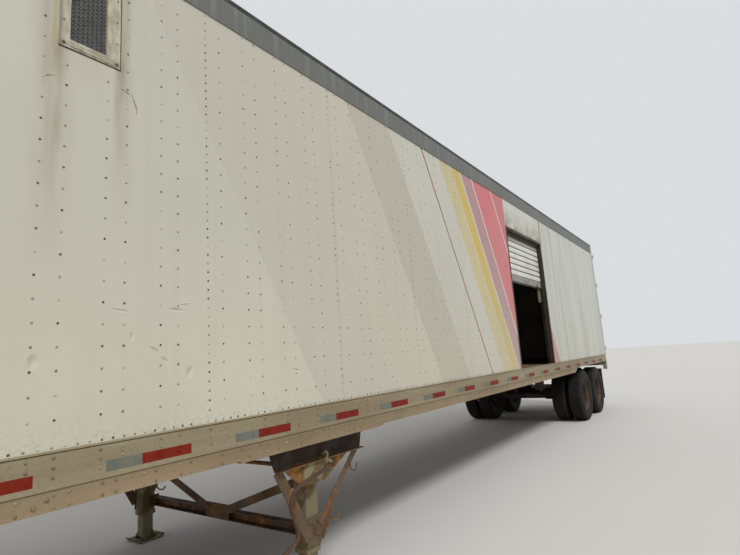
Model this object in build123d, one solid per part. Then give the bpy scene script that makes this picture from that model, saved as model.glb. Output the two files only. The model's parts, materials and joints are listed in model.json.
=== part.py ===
from build123d import *
import math
import os

os.makedirs("parts", exist_ok=True)

# A 48 ft sheet-and-post van semi trailer, parked on its landing legs and its tandem.
# X runs from the front wall to the rear doors, Y to the right-hand side, Z up from the ground.
# Every size is in millimetres. The origin is on the ground under the middle of the trailer.

# Whole body
LENGTH = 14630.0            # face of the front rails to the face of the rear doors, 48 ft
HALF_WIDTH = 1295.0         # outer face of the rails, 102 in over both
HEIGHT = 4115.0             # 13 ft 6 in
FRONT_X = -LENGTH / 2
REAR_X = LENGTH / 2
CORNER_RADIUS = 119.0       # front corners, at the rails' outer face
POST_PITCH = 304.8          # side posts, one each 12 in
END_REACH = 60.0            # how far couplings and bumpers stand past both ends

# Rails and walls, with depths measured inwards from the rails' outer face
RAIL_WEB = 9.0
WALL_DEPTH = (9.0, 47.0)    # outer skin and inner lining
RAIL_BOTTOM = 1013.0
RAIL_STEP = 1098.0          # the rail's lower band is set in below this height
RAIL_TOP = 1265.0
RAIL_LOWER_INSET = 6.0
RAIL_CUT_START = 3965.0     # from here back the lower band is cut away over the wheels
RAIL_CUT_LENGTH = 220.0
RAIL_GROOVE = (1251.0, 1255.0)  # shadow line under the rail's top edge
RAIL_SHOE_X = (-4400.0, -2880.0)  # the lip is deeper here, over the landing gear
RAIL_SHOE_DEPTH = 14.0
TOP_RAIL_BOTTOM = 3874.0
TOP_CAP_BOTTOM = 4059.0     # the black cap strip begins here
ROOF_UNDERSIDE = 4108.0
ROOF_THICKNESS = 4.0
WALL_BOTTOM = 1215.0
WALL_TOP = 4098.0
BEAM_BOTTOM = 1113.0        # under side of the crossmembers

# Floor
FLOOR_TOP = 1250.0
CROSSMEMBER_WIDTH = 57.0
CROSSMEMBER_WEB = 6.0
CROSSMEMBER_FLANGE = 7.0
COUPLER_LENGTH = 1500.0
CROSSMEMBER_RUNS = (
    # first beam, pitch, beams
    (-5591.0, 204.5, 6),        # behind the coupler
    (-4364.0, 150.0, 9),        # close together over the landing gear
    (-2921.8, 304.8, 33),       # the rest, one each 12 in
)

# Rear frame and swing doors
FRAME_REAR = REAR_X - 8.0   # the frame's rear face, a little ahead of the doors' face
FRAME_FRONT = REAR_X - 120.0
FRAME_POST_WIDTH = 90.0
FRAME_POST_BOTTOM = 900.0
SILL_BOTTOM = 1000.0
SILL_TOP = 1240.0
HEADER_BOTTOM = 3960.0
DOOR_THICKNESS = 48.0
DOOR_GAP = 6.0
DOOR_TOP = HEADER_BOTTOM - DOOR_GAP
DOOR_BOTTOM = SILL_TOP + DOOR_GAP
DOOR_OUTER = HALF_WIDTH - FRAME_POST_WIDTH - DOOR_GAP
DOOR_INNER = 4.0
HINGE_X = REAR_X + 45.0
HINGE_Y = HALF_WIDTH + 1.0
HINGE_RADIUS = 12.0
HINGE_HEIGHTS = (1420.0, 2230.0, 3040.0, 3790.0)
ROD_X = REAR_X + 20.0
ROD_RADIUS = 13.5
ROD_OFFSETS = (330.0, 900.0)   # lock rods, from the middle of the trailer

# Side door in the left wall, a roll-up curtain left partly raised
SIDE_DOOR = (825.0, 2555.0)    # clear opening between the jambs
SIDE_DOOR_HEAD = 3393.0
JAMB_WIDTH = 45.0
JAMB_DEPTH = 63.0
THRESHOLD_DEPTH = 95.0         # the threshold is let into the floor's edge
CURTAIN_FACE = -1222.0
CURTAIN_THICKNESS = 20.0
CURTAIN_BOTTOM = 2610.0
SLAT_PITCH = 93.0
COIL_RADIUS = 150.0
COIL_Z = 3700.0

# Vent high in the left wall, near the front
VENT_X = (-5420.0, -5238.0)
VENT_Z = (3250.0, 3700.0)
VENT_FLANGE = 50.0
VENT_REAR_FLANGE = 71.0

# Landing gear
LEG_X = -3632.0
LEG_Y = 1070.0
LEG_SIZE = 126.0
LEG_INNER = 104.0
LEG_OUTER_BOTTOM = 225.0
MOUNT_X = (-3995.0, -3040.0)   # lower edge of the side plate that hangs each leg from the floor
MOUNT_SPREAD = (100.0, 70.0)    # how much longer its upper edge is, ahead and behind
MOUNT_BOTTOM = 845.0
PLATE = 8.0
CRANK_ROUTE = ((-3490.0, 803.0), (-3975.0, 707.0), (-3850.0, 400.0), (-4100.0, 311.0))
CRANK_BENDS = (118.0, 55.0)
CRANK_RADIUS = 14.0
CRANK_HOLDER = (-3512.0, 868.0)   # open clip that the folded handle hangs in
CHANNEL_X = (-3600.0, -3538.0)    # cross channel, open to the front
CHANNEL_Z = (300.0, 380.0)
CROSS_SHAFT_Z = 803.0
HOOKS = (
    # start, low point, turn and tip of each hook, as x and z
    ((-3200.0, 765.0), (-3186.0, 698.0), (-3130.0, 678.0), (-3101.0, 735.0)),
    ((-3471.0, 441.0), (-3440.0, 394.0), (-3394.0, 380.0), (-3366.0, 406.0)),
)
HOOK_RADIUS = 6.5

# Tandem axles and wheels
AXLE_X = (4705.0, 5935.0)
TYRE_RADIUS = 510.0
TYRE_WIDTH = 280.0
TYRE_Y = (820.0, 1150.0)       # middles of the inner and outer tyres
WHEEL_FACE_Y = 985.0           # where the two discs of a pair meet
HAND_HOLES = 5
AXLE_TUBE_RADIUS = 63.5
SPINDLE_RADIUS = 42.0
SPRING_Y = 510.0
SPRING_WIDTH = 76.0
SPRING_LEAF = 14.0
SPRING_END = 690.0             # under side of the springs' ends, held in the hangers' mouths
FRAME_RAIL = (3950.0, 6720.0)

# Kingpin, 36 in behind the front face
KINGPIN_X = FRONT_X + 914.0
COUPLER_FACE = 1095.0


def along_x(points, x0, x1):
    """Solid of the (y, z) outline, from x0 to x1."""
    face = Plane((x0, 0, 0), x_dir=(0, 1, 0), z_dir=(1, 0, 0)) * make_face(Polyline(*points, close=True))
    return extrude(face, amount=x1 - x0, dir=(1, 0, 0))


def along_y(points, y0, y1):
    """Solid of the (x, z) outline, from y0 to y1."""
    face = Plane((0, y0, 0), x_dir=(1, 0, 0), z_dir=(0, -1, 0)) * make_face(Polyline(*points, close=True))
    return extrude(face, amount=y1 - y0, dir=(0, 1, 0))


def along_z(points, z0, z1):
    """Solid of the (x, y) outline, from z0 to z1."""
    face = Plane((0, 0, z0)) * make_face(Polyline(*points, close=True))
    return extrude(face, amount=z1 - z0, dir=(0, 0, 1))


def block(x, y, z):
    """Rectangular solid between pairs of limits."""
    return Pos((x[0] + x[1]) / 2, (y[0] + y[1]) / 2, (z[0] + z[1]) / 2) * Box(
        abs(x[1] - x[0]), abs(y[1] - y[0]), abs(z[1] - z[0]))


def round_bar(start, end, radius, bore=0.0):
    """Round bar or tube between two points."""
    path = Vector(*end) - Vector(*start)
    plane = Plane(origin=start, z_dir=path.normalized())
    section = Circle(radius)
    if bore:
        section -= Circle(bore)
    return extrude(plane * section, amount=path.length)


def flat_bar(start, end, width, thickness, wide_axis):
    """Flat bar between two points, its width along wide_axis."""
    path = Vector(*end) - Vector(*start)
    plane = Plane(origin=start, x_dir=wide_axis, z_dir=path.normalized())
    return extrude(plane * Rectangle(width, thickness), amount=path.length)


def spun_y(points, x, z):
    """Solid of revolution about the line along Y through (x, z), from (radius, y) points."""
    face = Plane((x, 0, z), x_dir=(1, 0, 0), z_dir=(0, 0, 1)) * make_face(Polyline(*points, close=True))
    return revolve(face, Axis((x, 0, z), (0, 1, 0)))


def mirrored(solid):
    """The same piece on the other side of the trailer."""
    return mirror(solid, about=Plane.XZ)


def both_sides(solid):
    """A piece and its mirror image."""
    return [solid, mirrored(solid)]


def joined(solids):
    """Pieces that are welded or cast together, as one solid."""
    whole = solids[0]
    for solid in solids[1:]:
        whole = whole + solid
    return whole


def save(name, solids):
    """Writes one sub-part, of one solid or of several that don't touch."""
    pieces = solids if isinstance(solids, list) else [solids]
    flat = [solid for piece in pieces for solid in piece.solids()]
    export_step(flat[0] if len(flat) == 1 else Compound(children=flat), f"parts/{name}.step")


def side(depth):
    """Y of a point this deep inside the left rail's outer face."""
    return -HALF_WIDTH + depth


# Rails

def bottom_rail():
    """Left bottom rail: a deep extruded web with the wall's ledge and a lower lip."""
    lower = RAIL_LOWER_INSET
    profile = [
        (side(lower), RAIL_BOTTOM), (side(lower), RAIL_STEP), (side(0), RAIL_STEP + 4), (side(0), RAIL_GROOVE[0]),
        (side(3), RAIL_GROOVE[0] + 1), (side(3), RAIL_GROOVE[1] - 1), (side(0), RAIL_GROOVE[1]),
        (side(0), RAIL_TOP - 4), (side(2), RAIL_TOP), (side(RAIL_WEB), RAIL_TOP), (side(RAIL_WEB), WALL_BOTTOM),
        (side(WALL_DEPTH[1]), WALL_BOTTOM), (side(WALL_DEPTH[1]), WALL_BOTTOM - 8), (side(15), WALL_BOTTOM - 8),
        (side(15), RAIL_BOTTOM + 8),
        (side(55), RAIL_BOTTOM + 8), (side(55), RAIL_BOTTOM)]
    rail = along_x(profile, FRONT_X + CORNER_RADIUS, FRAME_FRONT)
    cut = along_y([(RAIL_CUT_START, RAIL_BOTTOM - 1), (RAIL_CUT_START + RAIL_CUT_LENGTH, RAIL_STEP),
                   (FRAME_FRONT + 1, RAIL_STEP), (FRAME_FRONT + 1, RAIL_BOTTOM - 1)], side(-1), side(60))
    shoe = block(RAIL_SHOE_X, (side(lower), side(55)), (RAIL_BOTTOM - RAIL_SHOE_DEPTH, RAIL_BOTTOM))
    return rail - cut + shoe


def top_rail():
    """Left top rail, with its rounded cap and the flange that carries the roof."""
    radius = 22.0
    outside = Polyline((side(RAIL_WEB), TOP_RAIL_BOTTOM), (side(0), TOP_RAIL_BOTTOM), (side(0), TOP_CAP_BOTTOM),
                       (side(4), TOP_CAP_BOTTOM), (side(4), HEIGHT - radius))
    crown = TangentArc((side(4), HEIGHT - radius), (side(4 + radius), HEIGHT), tangent=(0, 1))
    inside = Polyline((side(4 + radius), HEIGHT), (side(36), HEIGHT), (side(36), ROOF_UNDERSIDE),
                      (side(70), ROOF_UNDERSIDE), (side(70), WALL_TOP), (side(RAIL_WEB), WALL_TOP),
                      (side(RAIL_WEB), TOP_RAIL_BOTTOM))
    start = FRONT_X + CORNER_RADIUS
    section = Plane((start, 0, 0), x_dir=(0, 1, 0), z_dir=(1, 0, 0)) * make_face(outside + crown + inside)
    return extrude(section, amount=FRAME_FRONT - start, dir=(1, 0, 0))


def front_band(depth, z0, z1):
    """Band across the front and round both corners, from the outer face in to depth."""
    length = CORNER_RADIUS
    outer = Pos(FRONT_X + length, 0) * RectangleRounded(2 * length, 2 * HALF_WIDTH, CORNER_RADIUS - 1)
    inner = Pos(FRONT_X + length, 0) * RectangleRounded(
        2 * length - 2 * depth, 2 * HALF_WIDTH - 2 * depth, CORNER_RADIUS - 1 - depth)
    front_half = Pos(FRONT_X + length / 2, 0) * Rectangle(length, 2 * HALF_WIDTH)
    return extrude(Plane((0, 0, z0)) * ((outer - inner) & front_half), amount=z1 - z0)


def rounded_front(x0, half_width, radius, z):
    """Flat panel as long as the body, with its two front corners rounded."""
    length = FRAME_FRONT - x0
    outline = Pos(x0 + length / 2, 0) * Rectangle(length, 2 * half_width)
    corners = outline.vertices().sort_by(Axis.X)[:2]
    return extrude(Plane((0, 0, z[0])) * fillet(corners, radius), amount=z[1] - z[0])


# Walls

def lining_grooves(x0, x1, y, z0, z1):
    """Upright grooves in the lining, where the posts show between the sheets."""
    grooves = []
    count = int((x1 - x0) // (2 * POST_PITCH))
    start = x0 + ((x1 - x0) - (count - 1) * 2 * POST_PITCH) / 2
    for index in range(count):
        middle = start + index * 2 * POST_PITCH
        grooves.append(block((middle - 22, middle + 22), (y - 5, y + 5), (z0 + 20, z1 - 20)))
    return grooves


def wall(x0, x1, z0=WALL_BOTTOM, z1=WALL_TOP):
    """Stretch of the left wall, skin to lining."""
    panel = block((x0, x1), (side(WALL_DEPTH[0]), side(WALL_DEPTH[1])), (z0, z1))
    return panel - lining_grooves(x0, x1, side(WALL_DEPTH[1]), z0, z1)


def crossmember(x):
    """I beam under the floor, with a clip at each end bolted to the rails."""
    half = CROSSMEMBER_WIDTH / 2
    web = CROSSMEMBER_WEB / 2
    top = WALL_BOTTOM
    bottom = BEAM_BOTTOM
    flange = CROSSMEMBER_FLANGE
    section = [(x - half, top), (x + half, top), (x + half, top - flange), (x + web, top - flange),
               (x + web, bottom + flange), (x + half, bottom + flange), (x + half, bottom), (x - half, bottom),
               (x - half, bottom + flange), (x - web, bottom + flange), (x - web, top - flange),
               (x - half, top - flange)]
    beam_end = HALF_WIDTH - WALL_DEPTH[1]
    beam = along_y(section, -beam_end, beam_end)
    clip = block((x + web, x + web + 8), (-HALF_WIDTH + 15, -beam_end + 60), (bottom + 8, top - 9))
    return joined([beam, clip, mirrored(clip)])


# Doors at the rear, written for the left leaf

def rear_door():
    """Left swing door: a framed panel, its field set in from the edge trim."""
    y0, y1 = -DOOR_OUTER, -DOOR_INNER
    leaf = block((REAR_X - DOOR_THICKNESS, REAR_X), (y0, y1), (DOOR_BOTTOM, DOOR_TOP))
    trim = 60.0
    field = block((REAR_X - 4, REAR_X + 1), (y0 + trim, y1 - trim), (DOOR_BOTTOM + trim, DOOR_TOP - trim))
    return leaf - field


def rear_door_locks():
    """Lock rods with their cams and handle, and the hinge straps, on the left door."""
    pieces = []
    for offset in ROD_OFFSETS:
        rod = round_bar((ROD_X, -offset, SILL_TOP - 90), (ROD_X, -offset, HEADER_BOTTOM + 90), ROD_RADIUS)
        brackets = [block((REAR_X, ROD_X), (-offset - 26, -offset + 26), (z - 22, z + 22))
                    for z in (DOOR_BOTTOM + 30, DOOR_TOP - 30)]
        cams = [block((ROD_X - 12, ROD_X + 14), (-offset + 6, -offset + 44), (z - 14, z + 14))
                for z in (SILL_TOP - 70, HEADER_BOTTOM + 70)]
        handle_z = 1560.0 if offset == ROD_OFFSETS[0] else 1690.0
        handle = block((ROD_X - 5, ROD_X + 5), (-offset - 10, -offset + 260), (handle_z - 17, handle_z + 17))
        pieces.append(joined([rod, *brackets, *cams, handle]))
    for z in HINGE_HEIGHTS:
        pieces.append(hinge_strap(z))
    return pieces


def hinge_strap(z):
    """Strap on the left door that reaches out round the post to the hinge pin."""
    half = 28.0
    pin_y = -HINGE_Y
    outline = [(REAR_X, -DOOR_OUTER + 230), (REAR_X + 7, -DOOR_OUTER + 230), (REAR_X + 7, -DOOR_OUTER + 20),
               (REAR_X + 14, pin_y + 40), (HINGE_X + 5, pin_y + 11), (HINGE_X - 7, pin_y - 9),
               (REAR_X, pin_y + 14)]
    arm = along_z(outline, z - half, z + half)
    eye = Pos(HINGE_X, pin_y, z) * Cylinder(HINGE_RADIUS, 2 * half)
    bore = Pos(HINGE_X, pin_y, z) * Cylinder(6.5, 2 * half + 2)
    return arm + eye - bore


def hinge_bracket(z):
    """Two lugs and the pin of one hinge, welded to the left post's rear face."""
    pin_y = -HINGE_Y
    lugs = []
    for z0, z1 in ((z - 46, z - 30), (z + 30, z + 46)):
        plate = block((FRAME_REAR, HINGE_X), (pin_y - 11, pin_y + 11), (z0, z1))
        lugs.append(plate + Pos(HINGE_X, pin_y, (z0 + z1) / 2) * Cylinder(HINGE_RADIUS, z1 - z0))
    pin = Pos(HINGE_X, pin_y, z) * Cylinder(6.0, 92)
    return joined([*lugs, pin])


def rear_frame():
    """Galvanised corner posts, header and sill, welded into one frame with the hinge lugs."""
    inner = HALF_WIDTH - FRAME_POST_WIDTH
    post = block((FRAME_FRONT, FRAME_REAR), (-HALF_WIDTH, -inner), (FRAME_POST_BOTTOM, HEIGHT))
    header = block((FRAME_FRONT, FRAME_REAR), (-inner, inner), (HEADER_BOTTOM, HEIGHT))
    sill = along_y([(FRAME_FRONT, SILL_BOTTOM), (FRAME_REAR, SILL_BOTTOM), (FRAME_REAR, SILL_TOP),
                    (REAR_X - DOOR_THICKNESS - DOOR_GAP, SILL_TOP), (REAR_X - DOOR_THICKNESS - DOOR_GAP, FLOOR_TOP),
                    (FRAME_FRONT, FLOOR_TOP)], -inner, inner)
    brackets = [hinge_bracket(z) for z in HINGE_HEIGHTS]
    left = joined([post, *brackets])
    return joined([left, header, sill, mirrored(left)])


def rear_guard():
    """Under-ride guard: a tube across the back, on two uprights and two raking braces."""
    front, rear = REAR_X - 110, REAR_X - 30
    tube = block((front, rear + 15), (-1110, 1110), (455, 555))
    upright = block((front, rear), (-560, -470), (555, SILL_BOTTOM))
    brace = along_y([(front, 600), (front, 680), (front - 360, BEAM_BOTTOM), (front - 430, BEAM_BOTTOM)],
                    -521, -509)
    return joined([tube, upright, mirrored(upright), brace, mirrored(brace)])


# Side door

def side_door_frame():
    """Jambs, head and threshold round the side door, deep enough for the reveal."""
    x0, x1 = SIDE_DOOR
    y0, y1 = side(3), side(JAMB_DEPTH)
    jambs = [block((x0 - JAMB_WIDTH, x0), (y0, y1), (RAIL_TOP, SIDE_DOOR_HEAD + JAMB_WIDTH)),
             block((x1, x1 + JAMB_WIDTH), (y0, y1), (RAIL_TOP, SIDE_DOOR_HEAD + JAMB_WIDTH))]
    head = block((x0, x1), (y0, y1), (SIDE_DOOR_HEAD, SIDE_DOOR_HEAD + JAMB_WIDTH))
    sill = along_x([(side(RAIL_WEB), WALL_BOTTOM), (side(THRESHOLD_DEPTH), WALL_BOTTOM),
                    (side(THRESHOLD_DEPTH), FLOOR_TOP), (side(JAMB_DEPTH), RAIL_TOP), (side(RAIL_WEB), RAIL_TOP)],
                   x0 - JAMB_WIDTH, x1 + JAMB_WIDTH)
    return joined([*jambs, head, sill])


def side_door_guide(x_jamb, towards):
    """Guide channel up one jamb, with the plate that carries the coil's end."""
    into_wall = 35.0
    into_opening = 20.0
    web = 8.0
    x0 = x_jamb - towards * into_wall
    x1 = x_jamb + towards * into_opening
    y0, y1 = side(JAMB_DEPTH), CURTAIN_FACE + CURTAIN_THICKNESS + 12
    slot0, slot1 = CURTAIN_FACE - 3, CURTAIN_FACE + CURTAIN_THICKNESS + 3
    back = x0 + towards * web
    outline = [(x0, y0), (x1, y0), (x1, slot0), (back, slot0), (back, slot1), (x1, slot1), (x1, y1), (x0, y1)]
    guide = along_z(outline, FLOOR_TOP + 20, COIL_Z - COIL_RADIUS - 20)
    plate = block((x0, back), (side(WALL_DEPTH[1]), -820), (SIDE_DOOR_HEAD + JAMB_WIDTH + 5, COIL_Z + 190))
    return guide + plate


def side_door_curtain():
    """Raised part of the slatted curtain that hangs below the coil, and its bottom bar."""
    x0, x1 = SIDE_DOOR[0] - 25, SIDE_DOOR[1] + 25
    face, back = CURTAIN_FACE, CURTAIN_FACE + CURTAIN_THICKNESS
    bar_top = CURTAIN_BOTTOM + 100
    outline = [(face, CURTAIN_BOTTOM), (face, bar_top - 3), (face + 4, bar_top)]
    count = int((COIL_Z - bar_top) // SLAT_PITCH)
    for index in range(count):
        low = bar_top + index * SLAT_PITCH
        outline += [(face + 8, low + 3), (face + 8, low + 7), (face + 3, low + 13), (face + 0.5, low + 26),
                    (face, low + 44), (face + 0.5, low + 62), (face + 3, low + 78), (face + 8, low + 88)]
    top = bar_top + count * SLAT_PITCH
    outline += [(face + 8, top), (back - 4, top), (back - 4, bar_top), (back, bar_top - 3), (back, CURTAIN_BOTTOM)]
    return along_x(outline, x0, x1)


def side_door_coil():
    """The rest of the curtain, rolled on its shaft above the opening."""
    middle_y = CURTAIN_FACE + CURTAIN_THICKNESS + 4 + COIL_RADIUS
    shaft_reach = 27.0
    roll = round_bar((SIDE_DOOR[0] - 20, middle_y, COIL_Z), (SIDE_DOOR[1] + 20, middle_y, COIL_Z), COIL_RADIUS)
    shaft = round_bar((SIDE_DOOR[0] - shaft_reach, middle_y, COIL_Z),
                      (SIDE_DOOR[1] + shaft_reach, middle_y, COIL_Z), 30)
    return roll + shaft


# Vent

def vent_frame():
    """Flanged frame of the vent, riveted over the cut-out, with a turned-out lower edge."""
    x0, x1 = VENT_X
    z0, z1 = VENT_Z
    flange = block((x0 - VENT_FLANGE, x1 + VENT_REAR_FLANGE), (side(3), side(WALL_DEPTH[0])),
                   (z0 - VENT_FLANGE, z1 + VENT_FLANGE))
    sleeve = block((x0 - 15, x1 + 15), (side(WALL_DEPTH[0]), side(WALL_DEPTH[1])), (z0 - 15, z1 + 15))
    opening = block((x0, x1), (side(-1), side(48)), (z0, z1))
    return flange + sleeve - opening


# Landing gear

def landing_leg():
    """Left leg: outer tube with its collar, inner tube, and a sand shoe on a pin between two lugs."""
    outer = Pos(LEG_X, -LEG_Y, LEG_OUTER_BOTTOM) * extrude(RectangleRounded(LEG_SIZE, LEG_SIZE, 12),
                                                          amount=BEAM_BOTTOM - 40 - LEG_OUTER_BOTTOM)
    collar = Pos(LEG_X, -LEG_Y, LEG_OUTER_BOTTOM) * extrude(RectangleRounded(LEG_SIZE + 14, LEG_SIZE + 14, 16),
                                                           amount=34)
    inner = Pos(LEG_X, -LEG_Y, 28) * extrude(RectangleRounded(LEG_INNER, LEG_INNER, 10),
                                             amount=LEG_OUTER_BOTTOM - 28)
    pan = along_y([(LEG_X - 104, 0), (LEG_X + 104, 0), (LEG_X + 125, 20), (LEG_X + 125, 32), (LEG_X + 99, 12),
                   (LEG_X - 99, 12), (LEG_X - 125, 32), (LEG_X - 125, 20)], -LEG_Y - 125, -LEG_Y + 125)
    half = LEG_INNER / 2
    lug_profile = [(LEG_X - 76, 12), (LEG_X + 76, 12), (LEG_X + 24, 98), (LEG_X - 24, 98)]
    lugs = [along_y(lug_profile, -LEG_Y + y, -LEG_Y + y + 12) for y in (-half - 12, half)]
    pin = round_bar((LEG_X, -LEG_Y - half - 20, 68), (LEG_X, -LEG_Y + half + 20, 68), 13)
    return joined([outer, collar, inner, pan, *lugs, pin])


def hook(route, y):
    """Round hook bent from bar, hung on a strut's outer face."""
    path = FilletPolyline(*[(x, y, z) for x, z in route], radius=18)
    section = Plane(origin=path @ 0, z_dir=path % 0) * Circle(HOOK_RADIUS)
    return sweep(section, path=path)


def landing_mount():
    """Left side plate with its wings and lip, the lower gusset, and the two struts between them."""
    face = -LEG_Y - LEG_SIZE / 2
    x0, x1 = MOUNT_X
    wing = along_y([(x0 - MOUNT_SPREAD[0], BEAM_BOTTOM), (x1 + MOUNT_SPREAD[1], BEAM_BOTTOM), (x1, MOUNT_BOTTOM),
                    (LEG_X + 442, MOUNT_BOTTOM), (LEG_X + 140, 690), (LEG_X - 100, 690),
                    (LEG_X - 288, MOUNT_BOTTOM), (x0, MOUNT_BOTTOM)], face - PLATE, face)
    lip = block((x0, x1), (face - 55, face - PLATE), (MOUNT_BOTTOM, MOUNT_BOTTOM + PLATE))
    holder_gap = block((CRANK_HOLDER[0] - 46, CRANK_HOLDER[0] + 46), (face - 60, face - PLATE),
                       (MOUNT_BOTTOM - 1, MOUNT_BOTTOM + PLATE + 1))
    gusset = along_y([(LEG_X - 70, 465), (LEG_X + 190, 480), (LEG_X + 75, 300), (LEG_X + 63, 268),
                      (LEG_X - 70, 268)], face - PLATE, face)
    rib = along_y([(LEG_X + 190, 480), (LEG_X + 183, 480), (LEG_X + 68, 300), (LEG_X + 75, 300)],
                  face - PLATE - 22, face - PLATE)
    strut_face = face - PLATE - 4
    front_strut = flat_bar((LEG_X - 345, strut_face, 850), (LEG_X - 55, strut_face, 330), 76, PLATE, (0, 0, 1))
    rear_strut = flat_bar((LEG_X + 532, strut_face, 850), (LEG_X + 60, strut_face, 400), 50, PLATE, (0, 0, 1))
    hooks = [hook(route, strut_face - 4 - HOOK_RADIUS + 1) for route in HOOKS]
    return joined([wing, lip - holder_gap, gusset, rib, front_strut, rear_strut, *hooks])


def landing_braces():
    """Cross channel between the legs, the shallow V of braces above it, and the cross shaft."""
    inner = LEG_Y - LEG_SIZE / 2
    x0, x1 = CHANNEL_X
    low, high = CHANNEL_Z
    channel = along_y([(x0, low), (x1, low), (x1, high), (x0, high), (x0, high - 7), (x1 - 7, high - 7),
                       (x1 - 7, low + 7), (x0, low + 7)], -inner, inner)
    room = block((x0 - 20, x0 + 20), (-inner, inner), (low, 800))
    middle = x0 - 4
    spread = [room & flat_bar((middle, sign * 40, high - 26), (middle, sign * (inner + 40), 716), 66, PLATE,
                              (0, 0, 1)) for sign in (-1, 1)]
    foot = block((x0 - PLATE, x0), (-150, 150), (low + 4, high + 50))
    ends = [block((LEG_X - 5, x1 + 6), sorted((sign * inner, sign * (inner - PLATE))), (low - 14, high + 14))
            for sign in (-1, 1)]
    shaft = round_bar((LEG_X, -inner, CROSS_SHAFT_Z), (LEG_X, inner, CROSS_SHAFT_Z), 16)
    sleeves = [round_bar((LEG_X, sign * inner, CROSS_SHAFT_Z), (LEG_X, sign * (inner - 70), CROSS_SHAFT_Z), 27)
               for sign in (-1, 1)]
    return [joined([channel, foot, *spread, *ends]), joined([shaft, *sleeves])]


def crank_holder(y0, y1):
    """Cast clip, open towards the front, that the folded handle hangs in."""
    x, z = CRANK_HOLDER
    turns = [math.radians(turn) for turn in range(-120, 151, 15)]
    outer = [(x + 38 * math.cos(turn), z + 38 * math.sin(turn)) for turn in turns]
    inner = [(x + 21 * math.cos(turn), z + 21 * math.sin(turn)) for turn in reversed(turns)]
    return along_y(outer + inner, y0, y1)


def landing_crank():
    """Gear case on the left leg with its shaft, the stowed cranked handle, and the clip that keeps it."""
    face = -LEG_Y - LEG_SIZE / 2 - PLATE
    shaft_x, shaft_z = CRANK_ROUTE[0]
    case = along_y([(-3738, 736), (-3738, 842), (-3446, 842), (-3410, 792), (-3466, 742), (-3570, 704), (-3704, 704)],
                   face - 26, face)
    boss = round_bar((shaft_x, face - 26, shaft_z), (shaft_x, face - 44, shaft_z), 30)
    shaft = round_bar((shaft_x, face - 26, shaft_z), (shaft_x, face - 92, shaft_z), 17)
    y = face - 75
    route = [(x, y, z) for x, z in CRANK_ROUTE]
    path = FilletPolyline(*route, radius=list(CRANK_BENDS))
    section = Plane(origin=path @ 0, z_dir=path % 0) * Circle(CRANK_RADIUS)
    handle = sweep(section, path=path)
    return joined([case, boss, shaft, handle, crank_holder(face - 34, face)])


# Coupling ends, lamps and flaps

def gladhand(y, z):
    """Air coupling on the front wall: a stub, a flange and the round seal face."""
    x = FRONT_X + WALL_DEPTH[0]
    stub = round_bar((x, y, z), (x - 40, y, z), 16)
    head = round_bar((x - 26, y, z + 4), (x - 26, y, z - 46), 24)
    lug = block((x - 44, x - 8), (y - 34, y - 20), (z - 46, z - 34))
    return joined([stub, head, lug])


def seven_way_socket(y, z):
    """Round electric socket with its hinged lid."""
    x = FRONT_X + WALL_DEPTH[0]
    reach = FRONT_X - END_REACH
    barrel = round_bar((x, y, z), (reach + 8, y, z), 33)
    lid = round_bar((reach + 8, y, z), (reach, y, z), 38)
    plate = block((x - 6, x), (y - 48, y + 48), (z - 48, z + 48))
    return joined([barrel, lid, plate])


def lamp(x, y, z, size, axis):
    """Lens on a shallow base, standing out from a face along axis."""
    length, height, depth = size
    if axis == "side":
        points = [(y, z - height / 2), (y, z + height / 2), (y - depth, z + height / 2 - 6),
                  (y - depth, z - height / 2 + 6)]
        return along_x(points, x - length / 2, x + length / 2)
    points = [(x, z - height / 2), (x, z + height / 2), (x + depth, z + height / 2 - 5),
              (x + depth, z - height / 2 + 5)]
    return along_y(points, y - length / 2, y + length / 2)


def mud_flap():
    """Left rubber flap behind the wheels, on a bar from the frame."""
    x = AXLE_X[1] + TYRE_RADIUS + 110
    outer = -HALF_WIDTH + 20
    flap = block((x, x + 8), (outer, -HALF_WIDTH + 640), (260, 950))
    bar = block((x + 8, x + 48), (outer, -SPRING_Y - 50), (895, 935))
    return joined([flap, bar])


def air_tank():
    """Air reservoir across the frame ahead of the axles, with domed ends."""
    x, z, radius = FRAME_RAIL[0] + 130, 990.0, 120.0
    profile = [(0, -420), (60, -412), (105, -385), (radius, -350), (radius, 350), (105, 385), (60, 412), (0, 420)]
    tank = spun_y(profile, x, z)
    straps = [block((x - 30, x + 30), (sign * 250 - 20, sign * 250 + 20), (z + 100, BEAM_BOTTOM)) for sign in (-1, 1)]
    return joined([tank, *straps])


# Running gear

def brake_linkage(x):
    """Left camshaft beside an axle, from the brake spider to the slack adjuster, with its bracket."""
    cam_x, cam_z = x + 105, TYRE_RADIUS - 40
    shaft = round_bar((cam_x, -740, cam_z), (cam_x, -350, cam_z), 14)
    arm = along_y([(cam_x - 20, cam_z - 20), (cam_x + 20, cam_z - 20), (cam_x + 16, cam_z + 110),
                   (cam_x - 8, cam_z + 110)], -392, -368)
    bracket = along_y([(x, cam_z + 10), (x, TYRE_RADIUS + 40), (cam_x + 16, cam_z + 16), (cam_x + 16, cam_z - 18),
                       (cam_x - 24, cam_z - 18)], -446, -436)
    return joined([shaft, arm, bracket])


def radius_rod(x):
    """Left rod that ties an axle to the spring hanger ahead of it."""
    y, front_x, front_z = -438.0, x - (AXLE_X[1] - AXLE_X[0]) / 2, 735.0
    rod = round_bar((front_x, y, front_z), (x - 20, y, TYRE_RADIUS + 20), 18)
    eye = round_bar((front_x, -SPRING_Y + 50, front_z), (front_x, y + 22, front_z), 32)
    return rod + eye


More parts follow.
